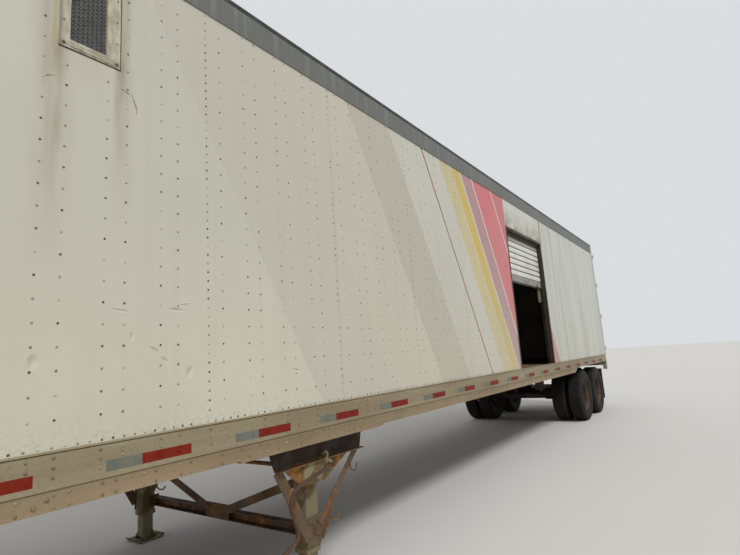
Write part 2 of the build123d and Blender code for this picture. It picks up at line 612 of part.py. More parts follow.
def axle(x):
    """Axle beam with spring seats, brake spiders, spindles, camshafts and radius rods."""
    beam = round_bar((x, -760, TYRE_RADIUS), (x, 760, TYRE_RADIUS), AXLE_TUBE_RADIUS)
    spindle = round_bar((x, -1060, TYRE_RADIUS), (x, 1060, TYRE_RADIUS), SPINDLE_RADIUS)
    seats = [block((x - 75, x + 75), (sign * SPRING_Y - 50, sign * SPRING_Y + 50),
                   (TYRE_RADIUS + 40, TYRE_RADIUS + 90)) for sign in (-1, 1)]
    spider = spun_y([(AXLE_TUBE_RADIUS - 5, -745), (135, -745), (135, -733), (AXLE_TUBE_RADIUS - 5, -733)],
                    x, TYRE_RADIUS)
    linkage = joined([spider, brake_linkage(x), radius_rod(x)])
    return joined([beam, spindle, *seats, linkage, mirrored(linkage)])


def leaf_spring(x):
    """Three-leaf spring over an axle, thick at the seat and thin at its ends."""
    reach = 520.0
    seat = TYRE_RADIUS + 90
    end_z = SPRING_END
    leaf = SPRING_LEAF
    y = -SPRING_Y
    with BuildSketch(Plane((0, y - SPRING_WIDTH / 2, 0), x_dir=(1, 0, 0), z_dir=(0, -1, 0))) as outline:
        with BuildLine():
            ThreePointArc((x - reach, end_z), (x, seat), (x + reach, end_z))
            Line((x + reach, end_z), (x + reach, end_z + leaf))
            ThreePointArc((x + reach, end_z + leaf), (x, seat + 3 * leaf), (x - reach, end_z + leaf))
            Line((x - reach, end_z + leaf), (x - reach, end_z))
        make_face()
    return extrude(outline.sketch, amount=SPRING_WIDTH, dir=(0, 1, 0))


def suspension_frame():
    """Left frame rail over the axles with its three spring hangers."""
    y = -SPRING_Y
    top = BEAM_BOTTOM
    rail = along_x([(y - 45, top), (y + 45, top), (y + 45, top - 10), (y - 33, top - 10), (y - 33, 945),
                    (y + 45, 945), (y + 45, 935), (y - 45, 935)], *FRAME_RAIL)
    gap = AXLE_X[1] - AXLE_X[0]
    places = (AXLE_X[0] - gap / 2, (AXLE_X[0] + AXLE_X[1]) / 2, AXLE_X[1] + gap / 2)
    hangers = []
    for x in places:
        hanger = along_y([(x - 170, 935), (x + 170, 935), (x + 130, 680), (x - 130, 680)], y - 50, y + 50)
        hangers.append(hanger - block((x - 175, x + 175), (y - 39, y + 39), (660, SPRING_END + SPRING_LEAF)))
    return joined([rail, *hangers])


def brake_chamber(x):
    """Left spring-brake chamber behind an axle, with its bracket."""
    y = -380.0
    chamber = round_bar((x + 130, y, TYRE_RADIUS + 60), (x + 330, y, TYRE_RADIUS + 60), 82)
    bracket = block((x + 20, x + 130), (y - 40, y - 24), (TYRE_RADIUS + 20, TYRE_RADIUS + 110))
    beam = round_bar((x, y - 60, TYRE_RADIUS), (x, y + 60, TYRE_RADIUS), AXLE_TUBE_RADIUS + 0.2)
    clevis = block((x + 122, x + 130), (y - 9, y + 9), (TYRE_RADIUS + 50, TYRE_RADIUS + 70))
    return joined([chamber, bracket - beam, clevis])


def tyre(x, y):
    """One tyre: flat tread, rounded shoulders and a bead on each side."""
    half = TYRE_WIDTH / 2
    bead = [(291, 104), (303, 104), (305, 114), (335, 128), (400, half), (455, half - 2), (492, half - 18),
            (TYRE_RADIUS, half - 36)]
    profile = [(radius, y - width) for radius, width in bead]
    profile += [(radius, y + width) for radius, width in reversed(bead)]
    return spun_y(profile, x, TYRE_RADIUS)


def disc_wheel(x, y, disc_y):
    """Steel disc wheel: a drop-centre rim and a disc bolted at disc_y."""
    outward = 1 if disc_y > y else -1
    rim = spun_y([(302, y - 112), (290, y - 112), (288, y - 100), (262, y - 60), (262, y + 60), (288, y + 100),
                  (290, y + 112), (302, y + 112), (302, y + 105), (290, y + 104), (290, y - 104), (302, y - 105)],
                 x, TYRE_RADIUS)
    inner_y = disc_y - outward * 11
    disc = spun_y([(112, disc_y), (190, disc_y), (266, y + outward * 42), (266, y + outward * 30),
                   (188, inner_y), (112, inner_y)], x, TYRE_RADIUS)
    for index in range(HAND_HOLES):
        turn = 2 * math.pi * (index + 0.5) / HAND_HOLES
        hole_x, hole_z = x + 228 * math.sin(turn), TYRE_RADIUS + 228 * math.cos(turn)
        disc = disc - round_bar((hole_x, y - 140, hole_z), (hole_x, y + 140, hole_z), 26)
    return rim + disc


def hub(x):
    """Left hub, brake drum and cap on one spindle."""
    bore = SPINDLE_RADIUS + 0.5
    shell = spun_y([(bore, -765), (95, -765), (110, -940), (150, -950), (150, -974), (108, -974), (100, -1085),
                    (60, -1100), (0, -1100), (0, -1066), (bore, -1066)], x, TYRE_RADIUS)
    drum = spun_y([(208, -752), (226, -752), (226, -885), (150, -955), (150, -974), (100, -974), (100, -945),
                   (140, -940), (206, -880)], x, TYRE_RADIUS)
    return shell + drum


# Kingpin and coupler

def kingpin():
    """Two-inch kingpin: shoulder, neck and lower flange."""
    z = COUPLER_FACE
    profile = [(0, z), (36.5, z), (36.5, z - 16), (25.4, z - 16), (25.4, z - 51), (35.7, z - 51), (35.7, z - 76),
               (28, z - 84), (0, z - 84)]
    face = Plane((KINGPIN_X, 0, 0), x_dir=(1, 0, 0), z_dir=(0, -1, 0)) * make_face(Polyline(*profile, close=True))
    return revolve(face, Axis((KINGPIN_X, 0, 0), (0, 0, 1)))


def coupler_plate():
    """Upper coupler: a plate with turned-up ends, and the channels between it and the floor."""
    x0 = FRONT_X + 70
    x1 = FRONT_X + COUPLER_LENGTH
    z = COUPLER_FACE
    plate = along_y([(x0, z + 60), (x0 + 8, z + 60), (x0 + 60, z + 9), (x1 - 60, z + 9), (x1 - 8, z + 60),
                     (x1, z + 60), (x1 - 57, z), (x0 + 57, z)], -1100, 1100)
    ribs = [block((x0 + 90 + index * 240, x0 + 98 + index * 240), (-1100, 1100), (z + 9, WALL_BOTTOM))
            for index in range(6)]
    return joined([plate, *ribs])


def build_body():
    """Rails, walls, roof and floor."""
    save("bottom_rails", [*both_sides(bottom_rail()), front_band(RAIL_WEB, RAIL_STEP, RAIL_TOP)])
    front_top = joined([front_band(RAIL_WEB, TOP_RAIL_BOTTOM, HEIGHT), front_band(36, ROOF_UNDERSIDE, HEIGHT),
                        front_band(70, WALL_TOP, ROOF_UNDERSIDE)])
    save("top_rails", [*both_sides(top_rail()), front_top])
    wall_start = FRONT_X + CORNER_RADIUS
    corner_outer = CORNER_RADIUS - WALL_DEPTH[0] - 1
    front_wall = block((FRONT_X + WALL_DEPTH[0], FRONT_X + WALL_DEPTH[1]),
                       (-HALF_WIDTH + CORNER_RADIUS, HALF_WIDTH - CORNER_RADIUS), (WALL_BOTTOM, WALL_TOP))
    save("front_wall", front_wall)
    centre = (wall_start, -HALF_WIDTH + CORNER_RADIUS)
    corner_ring = Pos(*centre) * (Circle(corner_outer) - Circle(CORNER_RADIUS - WALL_DEPTH[1]))
    half = CORNER_RADIUS / 2
    quarter = Pos(centre[0] - half, centre[1] - half) * Rectangle(CORNER_RADIUS, CORNER_RADIUS)
    corner = extrude(Plane((0, 0, WALL_BOTTOM)) * (corner_ring & quarter), amount=WALL_TOP - WALL_BOTTOM)
    save("front_corner_posts", both_sides(corner))
    door_left = SIDE_DOOR[0] - JAMB_WIDTH
    door_right = SIDE_DOOR[1] + JAMB_WIDTH
    vent_hole = block((VENT_X[0] - 15, VENT_X[1] + 15), (side(0), side(60)), (VENT_Z[0] - 15, VENT_Z[1] + 15))
    save("left_wall_front", wall(wall_start, door_left) - vent_hole)
    save("left_wall_over_door", wall(door_left, door_right, SIDE_DOOR_HEAD + JAMB_WIDTH, WALL_TOP))
    save("left_wall_rear", wall(door_right, FRAME_FRONT))
    save("right_wall", mirrored(wall(wall_start, FRAME_FRONT)))
    roof_edge = HALF_WIDTH - 36
    save("roof_panel", rounded_front(FRONT_X + 36, roof_edge, CORNER_RADIUS - 36,
                                     (ROOF_UNDERSIDE, ROOF_UNDERSIDE + ROOF_THICKNESS)))
    bows = []
    bow_count = int((FRAME_FRONT - wall_start) // (2 * POST_PITCH))
    for index in range(bow_count):
        x = wall_start + 200 + index * 2 * POST_PITCH
        hat = [(x - 45, ROOF_UNDERSIDE), (x - 20, ROOF_UNDERSIDE), (x - 18, ROOF_UNDERSIDE - 36),
               (x + 18, ROOF_UNDERSIDE - 36), (x + 20, ROOF_UNDERSIDE), (x + 45, ROOF_UNDERSIDE),
               (x + 45, ROOF_UNDERSIDE - 4), (x + 24, ROOF_UNDERSIDE - 4), (x + 22, ROOF_UNDERSIDE - 40),
               (x - 22, ROOF_UNDERSIDE - 40), (x - 24, ROOF_UNDERSIDE - 4), (x - 45, ROOF_UNDERSIDE - 4)]
        bows.append(along_y(hat, -HALF_WIDTH + 71, HALF_WIDTH - 71))
    save("roof_bows", bows)
    inner = HALF_WIDTH - WALL_DEPTH[1]
    floor = rounded_front(FRONT_X + WALL_DEPTH[1], inner, CORNER_RADIUS - WALL_DEPTH[1], (WALL_BOTTOM, FLOOR_TOP))
    threshold_notch = block((SIDE_DOOR[0] - JAMB_WIDTH, SIDE_DOOR[1] + JAMB_WIDTH), (side(0), side(THRESHOLD_DEPTH)),
                            (WALL_BOTTOM - 1, FLOOR_TOP + 1))
    save("floor", floor - threshold_notch)
    save("crossmembers", [crossmember(first + index * pitch)
                          for first, pitch, count in CROSSMEMBER_RUNS for index in range(count)])
    save("coupler_plate", coupler_plate())
    save("kingpin", kingpin())


def build_openings():
    """Side door and vent."""
    save("side_door_frame", side_door_frame())
    save("side_door_guides", [side_door_guide(SIDE_DOOR[0], 1), side_door_guide(SIDE_DOOR[1], -1)])
    save("side_door_curtain", side_door_curtain())
    save("side_door_coil", side_door_coil())
    save("vent_frame", vent_frame())
    save("vent_mesh", block(VENT_X, (side(24), side(27)), VENT_Z))


def build_landing_gear():
    """Legs, mounts, braces and crank."""
    save("landing_legs", both_sides(landing_leg()))
    save("landing_mounts", both_sides(landing_mount()))
    save("landing_braces", landing_braces())
    save("landing_crank", landing_crank())


def build_fittings():
    """Couplings on the front wall, lamps, flaps and the air reservoir."""
    save("air_couplings", [gladhand(-420, 1480), gladhand(-620, 1480)])
    save("electric_socket", seven_way_socket(-520, 1440))
    side_size = (100, 50, 18)
    rail_y = -HALF_WIDTH
    amber = [lamp(FRONT_X + 300, rail_y, z, side_size, "side") for z in (1230, 3990)]
    save("amber_lamps", [piece for one in amber for piece in both_sides(one)])
    tail_size = (110, 110, 30)
    red = [lamp(FRAME_REAR, -y, 1120, tail_size, "rear") for y in (560, 710)]
    red += [lamp(FRAME_REAR, -y, 4040, (100, 46, 18), "rear") for y in (230, 1100)]
    save("red_lamps", [piece for one in red for piece in both_sides(one)]
         + [lamp(FRAME_REAR, 0, 4040, (100, 46, 18), "rear")])
    save("mud_flaps", both_sides(mud_flap()))
    save("air_tank", air_tank())


def build_rear():
    """Rear frame, guard and swing doors."""
    save("rear_frame", rear_frame())
    save("rear_guard", rear_guard())
    bumper = block((FRAME_REAR, REAR_X + END_REACH), (-HALF_WIDTH + 130, -HALF_WIDTH + 330), (1020, 1130))
    save("dock_bumpers", both_sides(bumper))
    door = rear_door()
    locks = rear_door_locks()
    save("rear_door_left", door)
    save("rear_door_left_locks", locks)
    save("rear_door_right", mirrored(door))
    save("rear_door_right_locks", [mirrored(piece) for piece in locks])


def build_running_gear():
    """Suspension, axles and the four pairs of wheels."""
    save("suspension_frame", both_sides(suspension_frame()))
    save("axles", [axle(x) for x in AXLE_X])
    save("leaf_springs", [piece for x in AXLE_X for piece in both_sides(leaf_spring(x))])
    save("brake_chambers", [piece for x in AXLE_X for piece in both_sides(brake_chamber(x))])
    for x, place in zip(AXLE_X, ("front", "rear")):
        tyres = [tyre(x, -y) for y in TYRE_Y]
        rims = joined([disc_wheel(x, -y, -WHEEL_FACE_Y) for y in TYRE_Y])
        drum = hub(x)
        save(f"left_{place}_tyres", tyres)
        save(f"left_{place}_discs", rims)
        save(f"left_{place}_hub", drum)
        save(f"right_{place}_tyres", [mirrored(piece) for piece in tyres])
        save(f"right_{place}_discs", mirrored(rims))
        save(f"right_{place}_hub", mirrored(drum))


build_body()
build_openings()
build_landing_gear()
build_rear()
build_fittings()
build_running_gear()
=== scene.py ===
"""Looks of a sheet-and-post van semi trailer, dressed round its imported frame.

X runs from the front wall to the rear doors, Y to the right-hand side and Z up. Every size is in metres.
"""

import json
import logging
import math
from collections.abc import Callable, Mapping, Sequence
from dataclasses import dataclass
from enum import Enum

import bmesh
import bpy
import numpy as np
from bpy.types import ID, Material, Mesh, Node, NodeSocket, NodeTree, Object
from mathutils import Matrix, Vector

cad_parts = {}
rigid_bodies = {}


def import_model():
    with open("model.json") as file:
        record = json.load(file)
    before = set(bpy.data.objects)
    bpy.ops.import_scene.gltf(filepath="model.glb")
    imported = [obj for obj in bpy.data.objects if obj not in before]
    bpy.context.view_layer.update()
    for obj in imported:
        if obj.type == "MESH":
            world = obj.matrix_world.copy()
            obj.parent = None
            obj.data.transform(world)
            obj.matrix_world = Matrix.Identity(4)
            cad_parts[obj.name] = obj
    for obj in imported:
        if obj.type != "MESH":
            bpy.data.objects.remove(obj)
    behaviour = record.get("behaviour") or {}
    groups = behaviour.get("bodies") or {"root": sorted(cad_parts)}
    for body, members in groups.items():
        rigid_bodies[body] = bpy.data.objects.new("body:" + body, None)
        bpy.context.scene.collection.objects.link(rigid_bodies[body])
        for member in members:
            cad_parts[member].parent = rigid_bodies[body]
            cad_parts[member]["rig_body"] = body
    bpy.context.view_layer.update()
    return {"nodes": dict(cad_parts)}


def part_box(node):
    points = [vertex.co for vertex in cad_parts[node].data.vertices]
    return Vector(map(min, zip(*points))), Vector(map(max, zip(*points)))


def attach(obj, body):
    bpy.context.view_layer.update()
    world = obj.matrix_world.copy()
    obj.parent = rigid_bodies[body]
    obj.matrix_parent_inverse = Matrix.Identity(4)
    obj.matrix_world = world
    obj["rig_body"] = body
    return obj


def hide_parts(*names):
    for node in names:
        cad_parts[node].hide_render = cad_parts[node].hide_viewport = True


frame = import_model()
LOG = logging.getLogger("trailer")
SIDES = ((-1, "left"), (1, "right"))

Point = tuple[float, float, float]
Flat = tuple[float, float]
# a place, and the way that a fastener there faces
Spot = tuple[Point, Point]
# a hex colour and its mask
Coat = tuple[str, object]
Sockets = Mapping[str, NodeSocket]
Inputs = dict[str, object]


# Sizes read from the frame

@dataclass(frozen=True)
class Van:
    """Main places of the body, read from the CAD nodes, and the few sizes that their boxes don't give."""

    jamb_width: float = 0.046
    skin_y: float = -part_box("left_wall_front")[0].y
    rail_y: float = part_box("bottom_rails")[1].y
    front_x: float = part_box("front_wall")[0].x
    side_front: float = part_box("left_wall_front")[0].x
    side_rear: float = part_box("right_wall")[1].x
    rail_top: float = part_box("bottom_rails")[1].z
    rail_step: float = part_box("bottom_rails")[1].z - 0.167
    top_rail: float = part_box("top_rails")[0].z
    cap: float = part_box("top_rails")[1].z - 0.056
    door_x: Flat = (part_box("left_wall_over_door")[0].x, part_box("left_wall_over_door")[1].x)
    door_head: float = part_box("left_wall_over_door")[0].z
    under_beam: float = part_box("left_wall_over_door")[0].z - 0.045
    vent_x: Flat = (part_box("vent_frame")[0].x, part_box("vent_frame")[1].x)
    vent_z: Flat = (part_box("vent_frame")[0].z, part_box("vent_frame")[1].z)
    post_pitch: float = 0.3048
    first_post: float = -5.480
    column_half: float = 0.0525

    def posts(self) -> list[int]:
        """Numbers of the side posts, counted from the one behind the vent."""
        first = math.ceil((self.side_front - self.first_post) / self.post_pitch)
        last = math.floor((self.side_rear - self.first_post) / self.post_pitch)
        return list(range(first, last + 1))

    def post_x(self, number: int) -> float:
        """Middle of a side post."""
        return self.first_post + number * self.post_pitch


VAN = Van()


# Nodes

# values of the noise between which clouds come out soft and even
EVEN: Flat = (0.3, 0.7)


def linear(code: str) -> tuple[float, float, float, float]:
    """Turns an sRGB hex colour such as #C6C3B6 to linear light.

    Args:
        code: The colour as it is seen.

    Returns:
        Red, green, blue and an alpha of 1.
    """
    parts = [int(code[place:place + 2], 16) / 255 for place in (1, 3, 5)]
    bright = [part / 12.92 if part <= 0.04045 else ((part + 0.055) / 1.055) ** 2.4 for part in parts]
    return (*bright, 1.0)


class Nodes:
    """One tree of nodes, with the steps that finishes and patterns are built from."""

    def __init__(self, tree: NodeTree) -> None:
        """Takes over a shader or geometry tree."""
        self.tree = tree

    def feed(self, node: Node, inputs: dict) -> None:
        """Sets or links a node's inputs.

        Args:
            node: The node to feed.
            inputs: What each input gets, by its name or number: a value, a socket, or a node, whose
                first output in use is taken.
        """
        for key, given in inputs.items():
            if isinstance(key, int):
                socket = node.inputs[key]
            else:
                socket = next(one for one in node.inputs if one.name == key and one.enabled)
            if isinstance(given, Node):
                given = next(one for one in given.outputs if one.enabled)
            if isinstance(given, NodeSocket):
                self.tree.links.new(given, socket)
            else:
                socket.default_value = given

    def add(self, kind: str, inputs: dict | None = None, **settings: object) -> Node:
        """Adds one node with its settings and links.

        Args:
            kind: Blender's name for the type of node.
            inputs: What feeds the node, as feed takes it.
            settings: Attributes, set before the inputs.

        Returns:
            The node.
        """
        node = self.tree.nodes.new(kind)
        for name, value in settings.items():
            setattr(node, name, value)
        self.feed(node, inputs or {})
        return node

    def maths(self, operation: str, *values: object) -> Node:
        """One step of arithmetic on values, sockets or nodes."""
        return self.add("ShaderNodeMath", dict(enumerate(values)), operation=operation)

    def coords(self) -> NodeSocket:
        """Place of the point, in the trailer's own frame."""
        return self.add("ShaderNodeTexCoord").outputs["Object"]

    def places(self) -> Sockets:
        """X, Y and Z of the point, in the trailer's own frame."""
        return self.add("ShaderNodeSeparateXYZ", {"Vector": self.coords()}).outputs

    def patches(self, size: float, span: Flat = (0.4, 0.65), strength: float = 1.0,
                stretch: Point = (1.0, 1.0, 1.0), seed: float = 0.0, detail: float = 4.0) -> Node:
        """Cloudy mask, such as dust, runs or chalking.

        Args:
            size: Width of a typical patch.
            span: Values of the noise at which the mask begins and is full.
            strength: The mask's highest value.
            stretch: How much finer the patches are along each axis.
            seed: Moves the pattern.
            detail: How ragged the patches are.

        Returns:
            The node that gives the mask.
        """
        placed = self.add("ShaderNodeMapping",
                          {"Vector": self.coords(), "Location": (seed, seed, seed), "Scale": stretch})
        noise = self.add("ShaderNodeTexNoise", {"Vector": placed, "Scale": 1 / size, "Detail": detail})
        return self.slope(noise, *span, strength)

    def slope(self, value: object, start: float, end: float, strength: float = 1.0) -> Node:
        """Mask that rises from 0 to its strength as a value goes from start to end."""
        return self.add("ShaderNodeMapRange",
                        {"Value": value, "From Min": start, "From Max": end, "To Max": strength})

    def between(self, mask: object, low: float, high: float) -> Node:
        """Value that goes from low to high as a mask goes from 0 to 1."""
        return self.add("ShaderNodeMapRange", {"Value": mask, "To Min": low, "To Max": high})

    def left_half(self, place: Sockets) -> Node:
        """Mask of what lies left of the trailer's middle."""
        return self.slope(place["Y"], 0.01, -0.01)

    def product(self, *masks: object) -> object:
        """Masks multiplied by one another."""
        result = masks[0]
        for mask in masks[1:]:
            result = self.maths("MULTIPLY", result, mask)
        return result

    def layered(self, base: object, *coats: Coat) -> object:
        """Colours laid over one another.

        Args:
            base: The lowest colour, as a hex code or a node.
            coats: Hex colours with their masks, from the lowest up.

        Returns:
            The node or value that gives the colour.
        """
        colour = linear(base) if isinstance(base, str) else base
        for code, mask in coats:
            colour = self.add("ShaderNodeMix", {"Factor": mask, "A": colour, "B": linear(code)},
                              data_type="RGBA")
        return colour

    def bump(self, height: object, depth: float) -> Node:
        """Normal of a relief, where a height of 1 stands out by this depth."""
        return self.add("ShaderNodeBump", {"Height": height, "Distance": depth, "Strength": 1.0})


# Finishes

@dataclass(frozen=True)
class Finish:
    """A finish of the real trailer. Its material is made once."""

    name: str
    slot: str = ""

    def paint(self, nodes: Nodes) -> Inputs:
        """Adds this finish's nodes to a new material, and gives what feeds each input of its shader."""
        raise NotImplementedError

    def material(self) -> Material:
        """The finish as a Blender material."""
        found = bpy.data.materials.get(self.name)
        if found:
            return found
        made = bpy.data.materials.new(self.name)
        made.use_nodes = True
        nodes = Nodes(made.node_tree)
        nodes.feed(made.node_tree.nodes["Principled BSDF"], self.paint(nodes))
        return made


@dataclass(frozen=True)
class Weathered(Finish):
    """Sheet, casting or paint with a second tone in clouds, dirt in runs, and a fine grain."""

    base: str = "#808080"
    tone: str = "#707070"
    dirt: str = "#6A5F50"
    cloud: float = 0.4
    dirty: float = 0.4
    runs: float = 1.0
    metallic: float = 0.0
    rough: Flat = (0.45, 0.65)
    grain: float = 0.004
    depth: float = 0.0002

    def marks(self, nodes: Nodes) -> list[Coat]:
        """Further coats of colour that one finish has over the others."""
        return []

    def paint(self, nodes: Nodes) -> Inputs:
        """Clouds, runs of dirt and grain."""
        clouds = nodes.patches(self.cloud)
        runs = nodes.patches(self.cloud / 4, (0.45, 0.8), self.dirty, (1, 1, 1 / self.runs), seed=3.7,
                             detail=6.0)
        grain = nodes.patches(self.grain, EVEN, detail=2.0)
        colour = nodes.layered(self.base, (self.tone, clouds), (self.dirt, runs), *self.marks(nodes))
        return {"Base Color": colour, "Roughness": nodes.between(clouds, *self.rough),
                "Metallic": self.metallic, "Normal": nodes.bump(grain, self.depth)}


@dataclass(frozen=True)
class SlatEnamel(Weathered):
    """Baked enamel on rolled slats: pale faces, a dark line of painted shade in every joint, and a grey
    bottom bar.
    """

    # painted shade: the dark line in each joint
    joint: str = "#37322B"
    bar: str = "#84847E"
    # painted shade on the top slat, under the seal
    shaded: str = "#77766E"
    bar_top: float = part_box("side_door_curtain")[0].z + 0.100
    pitch: float = 0.093

    def marks(self, nodes: Nodes) -> list[Coat]:
        """Joints by height, darkened with painted shade, the bar below the slats, and painted shade on the
        top slat under the seal.
        """
        height = nodes.places()["Z"]
        up = nodes.maths("SUBTRACT", height, self.bar_top)
        away = nodes.maths("PINGPONG", up, self.pitch / 2)
        # painted shade: a dark line at each joint between slats
        joint = nodes.product(nodes.slope(away, 0.013, 0.007, 0.92), nodes.slope(up, -0.006, -0.004))
        shade_under_seal = nodes.slope(height, VAN.under_beam - 0.13, VAN.under_beam - 0.09, 0.75)
        return [(self.shaded, shade_under_seal), (self.joint, joint), (self.bar, nodes.slope(up, -0.004, -0.008))]


@dataclass(frozen=True)
class VentMetal(Weathered):
    """Dull aluminium flanges, with mud settled on the lower one and black rust round its end screws."""

    # colour of the mud, also laid as painted shade along the front flange
    smear: str = "#6B6151"
    spot: str = "#2E261E"
    corner: float = 0.020

    def marks(self, nodes: Nodes) -> list[Coat]:
        """Smears near the bottom edge, a strip of painted shade along the front flange, and a spot by each
        lower corner.
        """
        place = nodes.places()
        low = VAN.vent_z[0]
        muddy = nodes.slope(place["Z"], low + 0.045, low + 0.008, 0.8)
        smears = nodes.product(muddy, nodes.patches(
            0.03, (0.4, 0.62), 1.0, (0.5, 1, 1.6), seed=3.3, detail=6.0))
        # painted shade: a dark strip along the front flange's edge
        strip = nodes.slope(place["X"], VAN.vent_x[0] + 0.016, VAN.vent_x[0] + 0.006, 0.55)
        coats = [(self.smear, smears), (self.smear, strip)]
        for x in (VAN.vent_x[0] + self.corner, VAN.vent_x[1] - self.corner):
            middle = nodes.add("ShaderNodeCombineXYZ", {"X": x, "Y": place["Y"], "Z": low + self.corner})
            away = nodes.add("ShaderNodeVectorMath", {0: nodes.coords(), 1: middle}, operation="DISTANCE")
            coats.append((self.spot, nodes.slope(away.outputs["Value"], 0.012, 0.006, 0.95)))
        return coats


@dataclass(frozen=True)
class Livery(Finish):
    """Baked polyester enamel on aluminium sheet, chalked by years of sun, with slanted bands of colour.

    Rain has left faint upright runs, the road a thin film low down, and rust has wept from the vent.
    """

    white: str = "#C0BEB1"
    # painted light: the white low on the wall, lighter as if lit from the ground
    low_white: str = "#CAC6B5"
    rear_white: str = "#C3C4BB"
    grey: str = "#B1AFA2"
    film: str = "#BDB39A"
    wept: str = "#998D78"
    # dirt of the runs and splashes, and the painted shade along each lap
    grime: str = "#85796A"
    rust: str = "#51462C"
    caulk: str = "#ADA474"
    rear_run: str = "#8F9088"
    head_dirt: str = "#837352"
    slant: float = 0.55
    middle: float = 2.57
    # the ramp has 256 steps, so its span is kept short and no band is under 30 mm
    span: Flat = (-4.50, 2.40)
    bands: tuple[tuple[float, str], ...] = (
        (-4.35, "#BDB9AB"), (-3.35, "#C0BAAA"), (-2.45, "#B3AD9D"), (-1.75, "#BFBDB0"), (-1.060, "#86282A"),
        (-1.030, "#BFBDB0"), (-0.62, "#BFB384"), (-0.34, "#BFBDB0"), (-0.30, "#C4A94F"), (-0.06, "#BFBDB0"),
        (-0.01, "#A97E80"), (0.30, "#D8CFC8"), (0.33, "#C86268"), (0.98, "#D8CFC8"), (1.02, "#BE5A61"),
        (2.22, "#C4C6BC"))
    # middle along the wall, half width, lower end, upper end and strength of each weeping streak
    streaks: tuple[tuple[float, ...], ...] = (
        (-5.485, 0.135, 1.95, 3.80, 0.98), (-5.470, 0.030, 2.30, 3.25, 0.40),
        (-5.496, 0.022, 3.10, 3.80, 0.80), (-5.146, 0.070, 2.25, 3.80, 0.98),
        (-5.162, 0.035, 2.55, 3.25, 0.60), (-5.320, 0.150, 2.95, 3.25, 0.30))
    streak_wander: float = 0.03
    # ends of each run of the thin rust line that has crept from the vent's rear corner
    creep: tuple[tuple[Flat, Flat], ...] = (
        ((-5.154, 3.096), (-5.098, 3.079)), ((-5.098, 3.079), (-5.075, 3.029)),
        ((-5.075, 3.029), (-5.069, 2.966)), ((-5.520, 3.008), (-5.485, 3.024)))
    creep_wander: float = 0.006
    # along and height of the middle, half length, half height, lean in degrees and depth of each dent
    dents: tuple[tuple[float, ...], ...] = (
        (-4.830, 1.905, 0.060, 0.014, 4, 0.006), (-4.780, 1.945, 0.045, 0.010, -8, -0.004),
        (-4.746, 1.561, 0.030, 0.050, 20, 0.007), (-5.140, 1.890, 0.070, 0.010, 6, 0.004),
        (-5.520, 1.651, 0.030, 0.045, 0, 0.007), (-5.080, 1.760, 0.018, 0.030, 0, 0.004),
        (-4.956, 1.688, 0.045, 0.012, 35, 0.006), (-4.898, 1.634, 0.040, 0.012, 35, 0.006),
        (-3.900, 1.520, 0.050, 0.012, 10, 0.005), (3.900, 1.900, 0.200, 0.040, 5, 0.010),
        (5.600, 2.300, 0.050, 0.120, 10, 0.010))

    def banded(self, nodes: Nodes, along: object) -> Node:
        """Bands of colour as a ramp."""
        start, end = self.span
        node = nodes.add("ShaderNodeValToRGB", {0: nodes.slope(along, start, end)})
        ramp = node.color_ramp
        ramp.interpolation = "CONSTANT"
        ramp.elements[0].color = linear(self.white)
        ramp.elements.remove(ramp.elements[1])
        for edge, code in self.bands:
            ramp.elements.new((edge - start) / (end - start)).color = linear(code)
        return node

    def weeping(self, nodes: Nodes, place: Sockets) -> object:
        """Streaks that wander down from their upper ends, on the left wall."""
        total = 0.0
        wander = nodes.patches(0.15, EVEN, self.streak_wander, (1, 1, 0.35), seed=1.3)
        moved = nodes.maths("ADD", place["X"], wander)
        for along, half, low, high, strength in self.streaks:
            aside = nodes.maths("ABSOLUTE", nodes.maths("SUBTRACT", moved, along + self.streak_wander / 2))
            soft = nodes.add("ShaderNodeMapRange", {"Value": aside, "From Min": half, "From Max": 0.0},
                             interpolation_type="SMOOTHSTEP")
            one = nodes.product(soft, nodes.slope(place["Z"], low, high, strength),
                                nodes.slope(place["Z"], high + 0.04, high - 0.04))
            total = nodes.maths("ADD", total, one)
        fine = nodes.patches(0.05, (0.1, 0.6), 1.0, (1, 1, 0.15), seed=5.0, detail=6.0)
        return nodes.product(total, fine, nodes.left_half(place))

    def crept(self, nodes: Nodes, place: Sockets) -> object:
        """Thin rust line on the left wall, about 5 mm wide, run by run."""
        total = 0.0
        wander = nodes.patches(0.02, (0.2, 0.8), self.creep_wander, seed=4.4)
        moved = nodes.maths("ADD", place["X"], wander)
        flat = nodes.add("ShaderNodeCombineXYZ", {"X": moved, "Y": place["Z"]})
        for start, end in self.creep:
            turn = math.atan2(end[1] - start[1], end[0] - start[0])
            half = math.dist(start, end) / 2 + 0.002
            middle = ((start[0] + end[0]) / 2 + self.creep_wander / 2, (start[1] + end[1]) / 2, 0.0)
            placed = nodes.add(
                "ShaderNodeMapping",
                {"Vector": flat, "Location": middle, "Rotation": (0, 0, turn)},
                vector_type="TEXTURE")
            part = nodes.add("ShaderNodeSeparateXYZ", {"Vector": placed}).outputs
            along = nodes.maths("ABSOLUTE", part["X"])
            across = nodes.maths("ABSOLUTE", part["Y"])
            one = nodes.product(nodes.slope(along, half + 0.003, half),
                                nodes.slope(across, 0.0045, 0.0018, 0.85))
            total = nodes.maths("MAXIMUM", total, one)
        broken = nodes.patches(0.02, (0.35, 0.55), seed=2.9, detail=3.0)
        return nodes.product(total, broken, nodes.left_half(place))

    def caulked(self, nodes: Nodes, place: Sockets) -> object:
        """Mask of the old caulk that shows as a line ahead of the vent's front flange."""
        edge = VAN.vent_x[0]
        return nodes.product(
            nodes.slope(place["X"], edge - 0.032, edge - 0.022, 0.60),
            nodes.slope(place["Z"], VAN.vent_z[0] - 0.03, VAN.vent_z[0] + 0.04),
            nodes.slope(place["X"], edge - 0.002, edge - 0.010),
            nodes.left_half(place), nodes.patches(0.04, (0.2, 0.5), seed=6.6))

